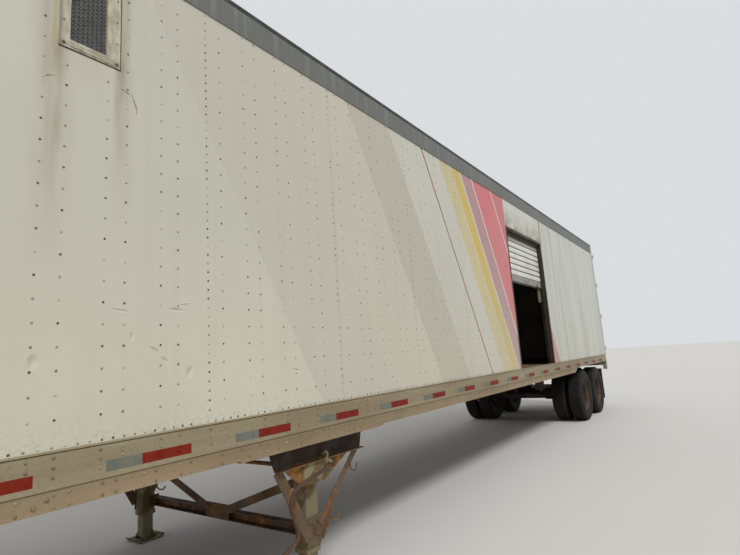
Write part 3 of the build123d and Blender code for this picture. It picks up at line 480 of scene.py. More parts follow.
    def dented(self, nodes: Nodes) -> object:
        """Height of the left wall's dents and scrapes."""
        coords = nodes.coords()
        total = 0.0
        for along, up, half, high, lean, depth in self.dents:
            placed = nodes.add(
                "ShaderNodeMapping",
                {"Vector": coords, "Location": (along, -VAN.skin_y, up),
                 "Rotation": (0, math.radians(lean), 0),
                 "Scale": (half, 0.05, high)}, vector_type="TEXTURE")
            away = nodes.add("ShaderNodeVectorMath", {0: placed}, operation="LENGTH").outputs["Value"]
            dent = nodes.add(
                "ShaderNodeMapRange",
                {"Value": away, "From Min": 1.0, "To Max": -depth, "From Max": 0.0},
                interpolation_type="SMOOTHERSTEP")
            total = nodes.maths("ADD", total, dent)
        return total

    def over_door(self, nodes: Nodes, place: Sockets) -> object:
        """Mask of the panel over the side door, with edges 2 mm soft."""
        soft = 0.002
        front, rear = VAN.door_x
        return nodes.product(
            nodes.left_half(place), nodes.slope(place["Z"], VAN.door_head - soft, VAN.door_head),
            nodes.slope(place["X"], front, front + soft), nodes.slope(place["X"], rear, rear - soft))

    def seams(self, nodes: Nodes, place: Sockets) -> Node:
        """Mask of the painted shade along each sheet's lap edge."""
        skin = Skin()
        bay = nodes.maths("SUBTRACT", place["X"], skin.lap_edges()[0])
        sheet = nodes.maths("PINGPONG", bay, VAN.post_pitch * skin.lap_posts)
        return nodes.slope(sheet, 0.003, 0.001, 0.7)

    def weather(self, nodes: Nodes, place: Sockets, panel: object) -> list[Coat]:
        """What road, rain and wear have left on the sheets, and painted shade along each lap."""
        film = nodes.product(nodes.slope(place["Z"], 2.2, 1.25, 0.35), nodes.patches(0.5, EVEN))
        runs = nodes.patches(0.05, (0.52, 0.85), 0.10, (1, 1, 0.03), seed=2.2, detail=5.0)
        splash = nodes.product(nodes.slope(place["Z"], 1.42, 1.26, 0.35),
                               nodes.patches(0.02, (0.5, 0.75), seed=7.0, detail=6.0))
        rear_runs = nodes.product(
            nodes.slope(place["X"], VAN.door_x[1], VAN.door_x[1] + 0.1),
            nodes.patches(0.16, (0.42, 0.66), 0.45, (1, 1, 0.04), seed=6.1, detail=3.0))
        head_dirt = nodes.product(
            panel, nodes.slope(place["Z"], VAN.door_head + 0.34, VAN.door_head, 0.85),
            nodes.patches(0.12, (0.3, 0.65), 1.0, (0.6, 1, 1), seed=12.0, detail=6.0))
        return [(self.film, film), (self.grime, runs), (self.grime, splash), (self.rear_run, rear_runs),
                (self.head_dirt, head_dirt), (self.grime, self.seams(nodes, place)),
                (self.wept, self.weeping(nodes, place)), (self.caulk, self.caulked(nodes, place)),
                (self.rust, self.crept(nodes, place))]

    def paint(self, nodes: Nodes) -> Inputs:
        """Bands by a slanted coordinate, painted bounce light low on the front white, then the weather over
        them.
        """
        place = nodes.places()
        lean = nodes.maths("MULTIPLY_ADD", place["Z"], self.slant, -self.slant * self.middle)
        along = nodes.maths("ADD", place["X"], lean)
        first_band = self.bands[0][0]
        panel = self.over_door(nodes, place)
        # painted light: the lower wall ahead of the bands is lighter, as if lit by light off the ground
        painted_bounce_light = nodes.product(
            nodes.slope(place["Z"], 2.5, 1.5, 0.85), nodes.slope(along, first_band, first_band - 0.01))
        chalk = nodes.patches(1.6, (0.35, 0.75), 0.5, (1, 1, 0.6))
        colour = nodes.layered(
            self.banded(nodes, along), (self.rear_white, panel),
            (self.low_white, painted_bounce_light), (self.grey, chalk),
            *self.weather(nodes, place, panel))
        peel = nodes.patches(0.01, EVEN, 0.0001, detail=3.0)
        return {"Base Color": colour, "Roughness": nodes.between(chalk, 0.42, 0.65),
                "Normal": nodes.bump(nodes.maths("ADD", peel, self.dented(nodes)), 1.0)}


@dataclass(frozen=True)
class RivetHeads(Finish):
    """Painted aluminium rivets: some still carry enamel, others are bare, dull or black; the black is partly
    dirt and partly painted shade of the heads.
    """

    painted: str = "#B4B1A4"
    bare: str = "#8D8A80"
    # dark heads: partly dirt, partly painted shade
    dirty: str = "#3E3A33"

    def paint(self, nodes: Nodes) -> Inputs:
        """A tone for about every rivet by coarse noise, with dirt and painted shade towards some of them."""
        bare = nodes.patches(0.08, (0.45, 0.55), seed=1.0, detail=0.0)
        dirty = nodes.patches(0.11, (0.47, 0.55), 0.9, seed=8.0, detail=1.0)
        return {"Base Color": nodes.layered(self.painted, (self.bare, bare), (self.dirty, dirty)),
                "Metallic": 0.2, "Roughness": 0.45}


@dataclass(frozen=True)
class RailMetal(Finish):
    """Extruded aluminium, gone dull, under a brown road film. The lower band is browner, with painted shade
    in the groove under the lip and at the step.
    """

    upper: str = "#8D8065"
    lower: str = "#9A8568"
    bright: str = "#A1967D"
    film: str = "#6F5E45"
    # colours of the painted shade at the step between the bands and in the groove under the lip
    step: str = "#4A3F30"
    groove: str = "#3A3226"

    def paint(self, nodes: Nodes) -> Inputs:
        """Two bands by height, with smears along the rail, small spatters, and painted shade at the step and
        in the groove.
        """
        height = nodes.places()["Z"]
        below = nodes.slope(height, VAN.rail_step + 0.004, VAN.rail_step)
        smears = nodes.patches(0.2, (0.4, 0.75), 0.6, (0.25, 1, 3), seed=1.0, detail=6.0)
        spatter = nodes.patches(0.012, (0.55, 0.75), 0.5, seed=4.0)
        film = nodes.patches(0.4, (0.4, 0.75), 0.5, (0.5, 1, 1), seed=8.0, detail=6.0)
        # painted shade: a dark line where the lower band steps in
        low, high = VAN.rail_step - 0.006, VAN.rail_step + 0.002
        step = nodes.product(nodes.slope(height, low, low + 0.005, 0.6),
                             nodes.slope(height, high, high - 0.002))
        # painted shade: a dark line in the groove under the lip
        low, high = VAN.rail_top - 0.015, VAN.rail_top - 0.008
        groove = nodes.product(nodes.slope(height, low, low + 0.002, 0.85),
                               nodes.slope(height, high, high - 0.002))
        draw_marks = nodes.patches(0.006, EVEN, 1.0, (0.03, 1, 1), detail=2.0)
        colour = nodes.layered(self.upper, (self.lower, below), (self.bright, smears), (self.film, film),
                               (self.film, spatter), (self.step, step), (self.groove, groove))
        return {"Base Color": colour, "Metallic": 0.25, "Roughness": nodes.between(smears, 0.62, 0.48),
                "Normal": nodes.bump(draw_marks, 0.0003)}


@dataclass(frozen=True)
class TopRailMetal(Finish):
    """Grey anodised top rail with faint upright runs, and the black cap strip along its top."""

    web: str = "#686965"
    dulled: str = "#65675F"
    run: str = "#8B8C86"
    cap: str = "#2C2C28"
    cap_dust: str = "#4A483E"

    def paint(self, nodes: Nodes) -> Inputs:
        """Web and cap by height, with runs down the web."""
        cap = nodes.slope(nodes.places()["Z"], VAN.cap - 0.001, VAN.cap + 0.001)
        runs = nodes.patches(0.07, (0.5, 0.8), 0.6, (1, 1, 0.08), seed=2.0, detail=5.0)
        dull = nodes.patches(0.6, (0.35, 0.7), 0.5, seed=5.0)
        dust = nodes.product(cap, nodes.patches(0.08, (0.5, 0.7), 0.7, seed=9.0))
        colour = nodes.layered(self.web, (self.dulled, dull), (self.run, runs), (self.cap, cap),
                               (self.cap_dust, dust))
        return {"Base Color": colour, "Metallic": 0.2, "Roughness": nodes.between(dull, 0.5, 0.68),
                "Normal": nodes.bump(nodes.patches(0.02, EVEN), 0.0003)}


@dataclass(frozen=True)
class Galvanised(Finish):
    """Hot-dip zinc on steel: grey spangle a couple of centimetres wide, with white bloom and brown drips."""

    light: str = "#A2A39C"
    dark: str = "#85867F"
    bloom: str = "#B4B4AC"
    drip: str = "#70604A"
    spangle: float = 0.022

    def paint(self, nodes: Nodes) -> Inputs:
        """Spangle from cells, then bloom and drips."""
        cells = nodes.add("ShaderNodeTexVoronoi", {"Vector": nodes.coords(), "Scale": 1 / self.spangle})
        crystal = nodes.add("ShaderNodeSeparateColor", {"Color": cells.outputs["Color"]})
        bloom = nodes.patches(0.25, (0.45, 0.7), 0.6)
        drips = nodes.patches(0.06, (0.52, 0.8), 0.7, (1, 1, 0.12), seed=6.0, detail=6.0)
        colour = nodes.layered(self.light, (self.dark, crystal), (self.bloom, bloom), (self.drip, drips))
        return {"Base Color": colour, "Metallic": 0.45, "Roughness": nodes.between(crystal, 0.42, 0.6)}


@dataclass(frozen=True)
class RustedSteel(Finish):
    """Bare and once-painted steel, rusted for years: dark scale, orange bloom, and scraps of the paint."""

    scale: str = "#4A372A"
    bloom: str = "#8A5A2E"
    brown: str = "#6B4526"
    pale: str = "#A08055"
    paint_left: str = "#5C5446"
    painted: float = 0.5
    orange: float = 0.6
    # painted shade of the rail, laid on the side plate's upper part
    grime: str = "#211B15"
    ochre: str = "#AD7A3C"
    # height above which the rail's shade is painted on the plate, where it is
    grimy_above: float = 0.0
    # wedge between the struts: its middle, half width and height of its foot, taper, and soft edge
    plate_middle: float = -3.555
    plate_foot: Flat = (0.125, 0.690)
    plate_taper: float = 1.5
    plate_edge: Flat = (0.035, 0.015)

    def between_struts(self, nodes: Nodes, place: Sockets) -> Node:
        """Mask of the side plate's wedge, which narrows downwards between the struts."""
        half, foot = self.plate_foot
        aside = nodes.maths("ABSOLUTE", nodes.maths("SUBTRACT", place["X"], self.plate_middle))
        wedge = nodes.maths("MULTIPLY_ADD", place["Z"], self.plate_taper, half - self.plate_taper * foot)
        return nodes.slope(nodes.maths("SUBTRACT", aside, wedge), *self.plate_edge)

    def plate_coats(self, nodes: Nodes) -> list[Coat]:
        """Ochre wash on the side plate, and painted shade of the rail above it."""
        place = nodes.places()
        washed = nodes.product(
            nodes.slope(place["Z"], self.grimy_above, self.grimy_above - 0.01),
            self.between_struts(nodes, place),
            nodes.patches(0.05, (0.35, 0.6), 0.85, seed=13.0, detail=8.0))
        # painted shade: the rail's shadow darkens the plate above this height
        rail_shade = nodes.slope(place["Z"], self.grimy_above, self.grimy_above + 0.02, 0.85)
        return [(self.ochre, washed), (self.grime, rail_shade)]

    def paint(self, nodes: Nodes) -> Inputs:
        """Scale, bloom in two sizes, and chips of paint with raised edges."""
        wide = nodes.patches(0.18, (0.42, 0.62), self.orange, (1, 1, 0.6), seed=1.0, detail=8.0)
        fine = nodes.patches(0.02, (0.45, 0.7), 0.7, seed=3.0, detail=8.0)
        pale = nodes.product(wide, nodes.patches(0.045, (0.52, 0.68), seed=11.0, detail=8.0))
        chips = nodes.patches(0.12, (0.47, 0.52), self.painted, (1, 1, 0.7), seed=21.0, detail=8.0)
        pits = nodes.patches(0.008, EVEN, 0.6, detail=6.0)
        coats = [(self.bloom, wide), (self.brown, fine), (self.pale, pale), (self.paint_left, chips)]
        if self.grimy_above:
            coats += self.plate_coats(nodes)
        return {"Base Color": nodes.layered(self.scale, *coats), "Metallic": 0.1,
                "Roughness": nodes.between(chips, 0.9, 0.6),
                "Normal": nodes.bump(nodes.maths("ADD", pits, chips), 0.0008)}


@dataclass(frozen=True)
class Rubber(Finish):
    """Black rubber, greyed by age and road dust."""

    base: str = "#242321"
    aged: str = "#3A3733"
    dust: str = "#6A5F4E"
    dusty: float = 0.5
    rough: float = 0.8

    def paint(self, nodes: Nodes) -> Inputs:
        """Clouds of bloom and dust, and a fine moulded grain."""
        aged = nodes.patches(0.15, (0.35, 0.65))
        dust = nodes.patches(0.05, (0.45, 0.75), self.dusty, seed=5.0, detail=6.0)
        grain = nodes.patches(0.003, EVEN, detail=2.0)
        return {"Base Color": nodes.layered(self.base, (self.aged, aged), (self.dust, dust)),
                "Roughness": self.rough, "Specular IOR Level": 0.3, "Normal": nodes.bump(grain, 0.0003)}


@dataclass(frozen=True)
class Lens(Finish):
    """Moulded acrylic lamp lens with fine flutes."""

    colour: str = "#B4560F"
    dust: str = "#7D6A55"
    flute: float = 0.006

    def paint(self, nodes: Nodes) -> Inputs:
        """Flutes across the lens, and a little dust."""
        flutes = nodes.add("ShaderNodeTexWave", {"Vector": nodes.coords(), "Scale": 0.3 / self.flute},
                           bands_direction="Z")
        dust = nodes.patches(0.03, (0.5, 0.8), 0.5)
        return {"Base Color": nodes.layered(self.colour, (self.dust, dust)), "Roughness": 0.25,
                "Coat Weight": 0.6, "Normal": nodes.bump(flutes.outputs["Fac"], 0.0008)}


@dataclass(frozen=True)
class Tape(Finish):
    """Reflective strip of sealed cells, faded and scuffed. Its lattice is drawn coarser than it is."""

    base: str = "#8C1F16"
    faded: str = "#A23A2C"
    scuff: str = "#776B50"
    scuffed: float = 0.5
    cell: float = 0.012

    def paint(self, nodes: Nodes) -> Inputs:
        """Lattice of cells, faded in patches and scuffed along the strip."""
        turned = nodes.add("ShaderNodeMapping",
                           {"Vector": nodes.coords(), "Rotation": (0, math.radians(45), 0)})
        cells = nodes.add(
            "ShaderNodeTexBrick",
            {"Vector": turned, "Scale": 1 / self.cell, "Mortar Size": 0.06,
             "Brick Width": 1.0, "Row Height": 1.0}, offset=0.0)
        faded = nodes.patches(0.06, (0.4, 0.7), 0.8)
        scuffs = nodes.patches(0.03, (0.55, 0.75), self.scuffed, (0.4, 1, 1), seed=6.0, detail=8.0)
        return {"Base Color": nodes.layered(self.base, (self.faded, faded), (self.scuff, scuffs)),
                "Roughness": 0.5, "Specular IOR Level": 0.2,
                "Normal": nodes.bump(cells.outputs["Fac"], 0.0002)}


@dataclass(frozen=True)
class Boards(Finish):
    """Wood laid in strips: laminated hardwood of the deck, or the plywood lining, scuffed by freight."""

    light: str = "#8C6F4C"
    dark: str = "#6B5236"
    scuff: str = "#4C4033"
    joint: str = "#2A2119"
    strip: float = 0.032
    across: str = "Y"
    grain_stretch: Point = (0.06, 1.0, 1.0)

    def paint(self, nodes: Nodes) -> Inputs:
        """Strips of two tones with a dark joint between them, and grain along them."""
        counted = nodes.maths("DIVIDE", nodes.places()[self.across], self.strip)
        tone = nodes.add("ShaderNodeTexWhiteNoise", {"W": nodes.maths("FLOOR", counted)},
                         noise_dimensions="1D")
        joint = nodes.slope(nodes.maths("FRACT", counted), 0.06, 0.0)
        grain = nodes.patches(0.012, (0.35, 0.7), 0.6, self.grain_stretch, seed=2.0, detail=6.0)
        scuffs = nodes.patches(0.3, (0.45, 0.75), 0.7, self.grain_stretch, seed=9.0, detail=8.0)
        colour = nodes.layered(self.light, (self.dark, tone.outputs["Value"]), (self.dark, grain),
                               (self.scuff, scuffs), (self.joint, joint))
        return {"Base Color": colour, "Roughness": 0.72, "Normal": nodes.bump(joint, -0.001)}


# Chalked off-white walls with slanted bands: the largest field of colour
SKIN = Livery("enamelled aluminium skin", "skin_paint")
# Dull tan rail in two bands, browner below, that underlines the whole side
RAIL = RailMetal("dulled rail aluminium", "rail_aluminium")
# Dark grey line under a black cap, which closes the wall off against the sky
TOP_RAIL = TopRailMetal("grey top rail and black cap", "cap_paint")
# Cool grey spangle, so that frame and rods stand off the white doors
GALVANISED = Galvanised("galvanised steel", "galvanised")
# Near-black painted shade of the rail above and ochre rust below, the warmest spot of the side
MOUNT = RustedSteel(
    "rusted side plate", "gear_rust", scale="#4E3B2D", bloom="#7C5432", pale="#A5804E",
    paint_left="#5F5240", painted=0.6, orange=0.75, grimy_above=0.853)
# Brown scale with orange bloom and scraps of grey paint
GEAR = RustedSteel(
    "rusted landing gear", "gear_rust", scale="#4E3B2D", bloom="#8C5A28", pale="#A5804E",
    paint_left="#5F5240", painted=0.6, orange=0.75)
# Drab olive that parts the legs from the rust round them
LEG = RustedSteel(
    "worn olive leg paint", "gear_rust", scale="#5D543E", bloom="#7E5F36", pale="#8F825C",
    paint_left="#756C50", painted=0.9, orange=0.45)
# Pale green-grey enamel of the gear case, rusty at its edges
CASE = RustedSteel(
    "worn green-grey case paint", "gear_rust", scale="#6F664C", bloom="#8A6A3C", pale="#A29669",
    paint_left="#928965", painted=0.9, orange=0.4)
# Dark brown steel
CRANK = RustedSteel(
    "handled crank steel", "gear_rust", scale="#443123", bloom="#5E422E", pale="#705844",
    paint_left="#4A382A", orange=0.5)
# Brown-red rust that marks the discs within the black tyres
WHEEL = RustedSteel(
    "rusted wheel steel", "wheel_rust", scale="#34251C", bloom="#4E3121", paint_left="#3F3A35")
# Dark castings under dust, seen only as shapes in the shade
CASTING = RustedSteel(
    "dusty cast steel", "cast_steel", scale="#332C26", bloom="#54402C", paint_left="#2E2C2A", painted=0.8,
    orange=0.5)
# Near-black rubber with brown dust in its grooves
TYRE = Rubber("tyre rubber", "tyre_rubber", base="#131211", aged="#1E1C1A", dust="#3A332A", dusty=0.25)
# Soft dark line round doors and curtain
RUBBER = Rubber("black rubber trim", "black_rubber", dusty=0.35, rough=0.65)
# Small warm points at the front corners
AMBER = Lens("amber acrylic", "amber_lens")
# Deep red points at the rear
RED = Lens("red acrylic", "red_lens", colour="#7C120E")
# Rust-red dashes that give the rail its rhythm
TAPE_RED = Tape("red reflective strip", base="#701505", faded="#7C2209", scuff="#5E4028", scuffed=0.25)
# Worn grey dashes between the red ones, scuffed to the film below
TAPE_WHITE = Tape("faded white reflective strip", base="#646960", faded="#70756B", scuffed=0.8)
# Dots of uneven darkness, so that the columns look old and hand-set
RIVETS = RivetHeads("skin rivets", "skin_paint")
# Tan heads that catch light along the rail
RAIL_RIVETS = RivetHeads("rail rivets", "rail_aluminium", painted="#958970", bare="#887C64", dirty="#6B5F49")
# Rusty brown heads round vent and side door
HEAD_RIVETS = RivetHeads(
    "rusty head rivets", "skin_paint", painted="#8F7A5C", bare="#7A5B3C", dirty="#5B402A")
# Warm worn strips seen through the side door
DECK = Boards("laminated hardwood deck", "lining")
# Tall plywood sheets that make the hold read as wood-lined
LINING = Boards(
    "plywood lining", "lining", light="#9A8763", dark="#85704E", strip=1.2192, across="X",
    grain_stretch=(1.0, 1.0, 0.05))
# Matt bare metal with brown stains, seen only from above
ROOF = Weathered(
    "thin roof aluminium", "roof_aluminium", base="#B6B7B3", tone="#A4A5A0", dirt="#7E7769", cloud=1.5,
    dirty=0.45, metallic=0.45, rough=(0.4, 0.6))
# Black paint dulled by road dust
CHASSIS = Weathered(
    "black chassis paint", "chassis_paint", base="#2B2926", tone="#3A352F", dirt="#6A5842", cloud=0.3,
    dirty=0.7, rough=(0.55, 0.85), grain=0.006, depth=0.0005)
# White enamel with long faint runs
DOOR_PAINT = Weathered(
    "white door enamel", "door_paint", base="#C4C3BA", tone="#B5B4AA", dirt="#8C8370", cloud=0.8,
    dirty=0.35, runs=8.0, rough=(0.4, 0.6))
# Dark brown metal that frames the opening, made darker still with painted shade
JAMB = Weathered(
    "weathered brown jamb", "jamb_metal", base="#3A3127", tone="#2B241D", dirt="#574834", cloud=0.25,
    dirty=0.5, runs=5.0, metallic=0.15, rough=(0.5, 0.75))
# Dirty pale paint that edges the dark jamb
JAMB_EDGE = Weathered(
    "painted jamb edge", "jamb_metal", base="#A89D92", tone="#958A7E", dirt="#6F6250", cloud=0.25,
    runs=5.0)
# Pale slats with black joints, the brightest thing in the opening
CURTAIN = SlatEnamel(
    "pale curtain enamel", "curtain_paint", base="#D8D7CD", tone="#CCCBC1", dirt="#968E7E", cloud=0.5,
    dirty=0.35, runs=6.0, rough=(0.4, 0.6))
# Warm dull flanges, muddy at their foot
VENT_METAL = VentMetal(
    "dull vent aluminium", "vent_aluminium", base="#C2BCA8", tone="#ACA592", dirt="#6E6250", cloud=0.08,
    dirty=0.55, runs=4.0, metallic=0.3)
# Dark grey cloth of wire that closes the mesh, so that its gaps aren't black
SCREEN = Weathered(
    "dusty wire screen", "vent_mesh_steel", base="#484949", tone="#3E3F3F", dirt="#4F4C46", cloud=0.04,
    dirty=0.5, rough=(0.8, 0.95))
# Mid-grey strands over the darker screen
MESH_STEEL = Weathered(
    "grey mesh steel", "vent_mesh_steel", base="#747574", tone="#636464", dirt="#6C665A", cloud=0.05,
    metallic=0.3)
# Bright wear through black grease
KINGPIN = Weathered(
    "greasy kingpin steel", "kingpin_steel", base="#4E4C48", tone="#2E2A25", dirt="#1F1B17", cloud=0.05,
    dirty=0.8, metallic=0.7, rough=(0.25, 0.5))
# Light cast metal against the white front wall
COUPLING = Weathered(
    "cast coupling metal", "coupling_metal", base="#8E8D88", tone="#72706A", dirt="#4E463B", cloud=0.06,
    dirty=0.6, metallic=0.5)
# Brown-black line under the vent
SEALANT = Weathered(
    "dried brown sealant", base="#43372B", tone="#2F2720", dirt="#6B5A45", cloud=0.05, rough=(0.7, 0.9),
    depth=0.0005)
# Grey-tan cloth with a coarse grain
STRAP = Weathered(
    "dirty webbing", base="#A39B88", tone="#8C836F", dirt="#6A6050", cloud=0.04, dirty=0.5,
    rough=(0.85, 0.95), grain=0.003, depth=0.0006)


# Shapes

def staged(name: str, data: ID) -> Object:
    """Puts an object with this data in the scene."""
    made = bpy.data.objects.new(name, data)
    bpy.context.scene.collection.objects.link(made)
    return made


def shade(bm: bmesh.types.BMesh, crease: float) -> None:
    """Smooths curved faces and keeps edges sharper than crease, in degrees, as edges."""
    limit = math.radians(crease)
    for edge in bm.edges:
        edge.smooth = len(edge.link_faces) == 2 and edge.calc_face_angle(math.pi) < limit
    for face in bm.faces:
        face.smooth = True


def bevelled(bm: bmesh.types.BMesh, edges: list[bmesh.types.BMEdge], width: float) -> None:
    """Rounds these edges."""
    bmesh.ops.bevel(bm, geom=edges, offset=width, segments=2, affect="EDGES", clamp_overlap=True)


def piece(name: str, mesh: Mesh, finish: Finish, body: str = "root",
          stands_for: Sequence[str] = ()) -> Object:
    """Makes a mesh a piece of the trailer.

    Args:
        name: The piece's name.
        mesh: Its shape, in place.
        finish: What it is made of.
        body: The body that it moves with.
        stands_for: CAD nodes that it replaces.

    Returns:
        The piece.
    """
    made = staged(name, mesh)
    mesh.materials.clear()
    mesh.materials.append(finish.material())
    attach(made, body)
    if stands_for:
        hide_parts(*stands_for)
    LOG.info("%s on %s, %d faces", name, body, len(mesh.polygons))
    return made


class Shape:
    """Closed solids gathered in one mesh."""

    def __init__(self) -> None:
        """Starts an empty mesh."""
        self.bm = bmesh.new()

    def tube(self, rings: Sequence[Sequence[bmesh.types.BMVert]]) -> "Shape":
        """Joins rings of as many corners to one closed solid.

        Args:
            rings: Its sections, from one end to the other.

        Returns:
            The shape itself.
        """
        self.bm.faces.new(rings[0])
        self.bm.faces.new(rings[-1][::-1])
        for near, far in zip(rings, rings[1:]):
            for corner in range(len(near)):
                self.bm.faces.new((near[corner], far[corner], far[corner - 1], near[corner - 1]))
        return self

    def prism(self, outline: Sequence[Flat], axis: str, span: Flat, bevel: float = 0.0) -> "Shape":
        """Adds a prism.

        Args:
            outline: Corners in the two axes that are left, in the order X, Y, Z.
            axis: The axis that the prism runs along, x, y or z.
            span: Where it starts and ends on that axis.
            bevel: Width of its rounded edges.

        Returns:
            The shape itself.
        """
        before = set(self.bm.edges)
        slot = "xyz".index(axis)
        self.tube([[self.bm.verts.new((*corner[:slot], along, *corner[slot:])) for corner in outline]
                   for along in span])
        if bevel:
            bevelled(self.bm, [edge for edge in self.bm.edges if edge not in before], bevel)
        return self

    def slab(self, low: Point, high: Point, bevel: float = 0.0) -> "Shape":
        """Adds a rectangular block between two corners."""
        outline = [(low[0], low[1]), (high[0], low[1]), (high[0], high[1]), (low[0], high[1])]
        return self.prism(outline, "z", (low[2], high[2]), bevel)

    def spun(self, profile: Sequence[Flat], centre: Point, axis: str = "y", steps: int = 32,
             sink: Callable[[int, int], float] | None = None) -> "Shape":
        """Adds a turned solid.

        Args:
            profile: Pairs of radius and distance along the axis. A radius of 0 is a pole.
            centre: Where distance 0 is.
            axis: The axis that it is turned about, x, y or z.
            steps: How many steps go round.
            sink: Gives how far each point lies inside its radius, by step and profile number.

        Returns:
            The shape itself.
        """
        ahead = Vector({"x": (1, 0, 0), "y": (0, 1, 0), "z": (0, 0, 1)}[axis])
        one = Vector({"x": (0, 1, 0), "y": (0, 0, 1), "z": (1, 0, 0)}[axis])
        two = ahead.cross(one)
        rings = []
        for number, (radius, along) in enumerate(profile):
            middle = Vector(centre) + ahead * along
            if radius == 0:
                rings.append([self.bm.verts.new(middle)] * steps)
                continue
            ring = []
            for step in range(steps):
                turn = 2 * math.pi * step / steps
                reach = radius - (sink(step, number) if sink else 0.0)
                ring.append(self.bm.verts.new(middle + (one * math.cos(turn) + two * math.sin(turn)) * reach))
            rings.append(ring)
        closed = profile[0][0] != 0
        for number in range(len(rings) if closed else len(rings) - 1):
            near, far = rings[number], rings[(number + 1) % len(rings)]
            for step in range(steps):
                corners = [near[step], near[step - 1], far[step - 1], far[step]]
                unique = list(dict.fromkeys(corners))
                if len(unique) > 2:
                    self.bm.faces.new(unique)
        return self

    def bar(self, path: Sequence[Point], radius: float, sides: int = 12) -> "Shape":
        """Adds a round bar along straight runs.

        Args:
            path: The points that it follows.
            radius: Its radius.
            sides: How many faces go round it.

        Returns:
            The shape itself.
        """
        points = [Vector(point) for point in path]
        turns = [2 * math.pi * step / sides for step in range(sides)]
        rings = []
        side = (points[1] - points[0]).orthogonal().normalized()
        for number, point in enumerate(points):
            ahead = (points[min(number + 1, len(points) - 1)] - points[max(number - 1, 0)]).normalized()
            side = (side - ahead * side.dot(ahead)).normalized()
            other = ahead.cross(side)
            rings.append([self.bm.verts.new(point + (side * math.cos(turn) + other * math.sin(turn)) * radius)
                          for turn in turns])
        return self.tube(rings)

    def mesh(self, name: str, crease: float = 35.0) -> Mesh:
        """Closes the shape and gives it as a mesh, with edges sharper than crease kept."""
        bmesh.ops.recalc_face_normals(self.bm, faces=self.bm.faces)
        shade(self.bm, crease)
        made = bpy.data.meshes.new(name)
        self.bm.to_mesh(made)
        self.bm.free()
        return made

    def finished(self, name: str, finish: Finish, body: str = "root", stands_for: Sequence[str] = (),
                 crease: float = 35.0) -> Object:
        """Closes the shape and makes it a piece."""
        return piece(name, self.mesh(name, crease), finish, body, stands_for)


def carried(finish: Finish, *nodes: str) -> None:
    """Gives its finish to each CAD node whose shape stays as it is."""
    for node in nodes:
        for slot in frame["nodes"][node].material_slots:
            slot.material = finish.material()


def dressed(node: str, finish: Finish, bevel: float = 0.0, crease: float = 35.0, second: Finish | None = None,
            where: Callable[[Vector], bool] | None = None) -> Object:
    """Stands in for a CAD node with a merged copy, its edges rounded and its curves smooth."""
    source = frame["nodes"][node]
    bm = bmesh.new()
    bm.from_mesh(source.data)
    bmesh.ops.remove_doubles(bm, verts=bm.verts, dist=1e-5)
    bmesh.ops.dissolve_limit(bm, angle_limit=math.radians(0.5), verts=bm.verts, edges=bm.edges)
    if bevel:
        limit = math.radians(crease)
        bevelled(bm, [edge for edge in bm.edges
                      if len(edge.link_faces) == 2 and edge.calc_face_angle(0.0) > limit], bevel)
    shade(bm, crease)
    name = f"{node}_dressed"
    mesh = bpy.data.meshes.new(name)
    bm.to_mesh(mesh)
    bm.free()
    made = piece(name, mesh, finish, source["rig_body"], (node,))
    if second:
        mesh.materials.append(second.material())
        for face in mesh.polygons:
            face.material_index = int(where(face.center))
    return made


# Geometry Nodes

class Fastener(Enum):
    """Heads of the fasteners, as unit profiles of radius and height, and how many sides they have."""

    RIVET = (((0, -0.3), (1, -0.3), (0.92, 0.4), (0.58, 0.86), (0, 1)), 8)
    SCREW = (((0, -0.3), (1, -0.3), (1, 0.4), (0.7, 1), (0, 1)), 8)
    HEX = (((0, -0.1), (1.35, -0.1), (1.35, 0.2), (1, 0.25), (1, 0.9), (0.85, 1), (0, 1)), 6)

    def head(self) -> Object:
        """The head as an object, one unit in radius and height."""
        profile, sides = self.value
        name = f"{self.name.lower()} head"
        return staged(name, Shape().spun(profile, (0, 0, 0), "z", sides).mesh(name, 60.0))


class NodeModifier:
    """A Geometry Nodes tree with named inputs, used on a carrier mesh and turned to a plain mesh."""

    def __init__(self, name: str, inputs: dict[str, str]) -> None:
        """Makes the tree with its inputs.

        Args:
            name: The tree's name.
            inputs: The type of each input, by its name.
        """
        self.tree = bpy.data.node_groups.new(name, "GeometryNodeTree")
        self.nodes = Nodes(self.tree)
        face = self.tree.interface
        face.new_socket("Geometry", in_out="INPUT", socket_type="NodeSocketGeometry")
        face.new_socket("Geometry", in_out="OUTPUT", socket_type="NodeSocketGeometry")
        self.sockets = {label: face.new_socket(label, in_out="INPUT", socket_type=kind).identifier
                        for label, kind in inputs.items()}
        self.given = self.nodes.add("NodeGroupInput").outputs

    def close(self, geometry: object) -> None:
        """Realizes the instances, sets the material and ends the tree."""
        real = self.nodes.add("GeometryNodeRealizeInstances", {"Geometry": geometry})
        set_finish = self.nodes.add(
            "GeometryNodeSetMaterial",
            {"Geometry": real, "Material": self.given["Finish"]})
        self.nodes.add("NodeGroupOutput", {"Geometry": set_finish})

    def run(self, carrier: Mesh, values: dict[str, object]) -> Mesh:
        """Runs the tree on a carrier mesh.

        Args:
            carrier: What the tree starts from.
            values: The value of each input, by its name.

        Returns:
            The plain mesh that comes out.
        """
        holder = staged("carrier", carrier)
        modifier = holder.modifiers.new("nodes", "NODES")
        modifier.node_group = self.tree
        for label, value in values.items():
            modifier[self.sockets[label]] = value
        graph = bpy.context.evaluated_depsgraph_get()
        made = bpy.data.meshes.new_from_object(holder.evaluated_get(graph))
        bpy.data.objects.remove(holder)
        return made


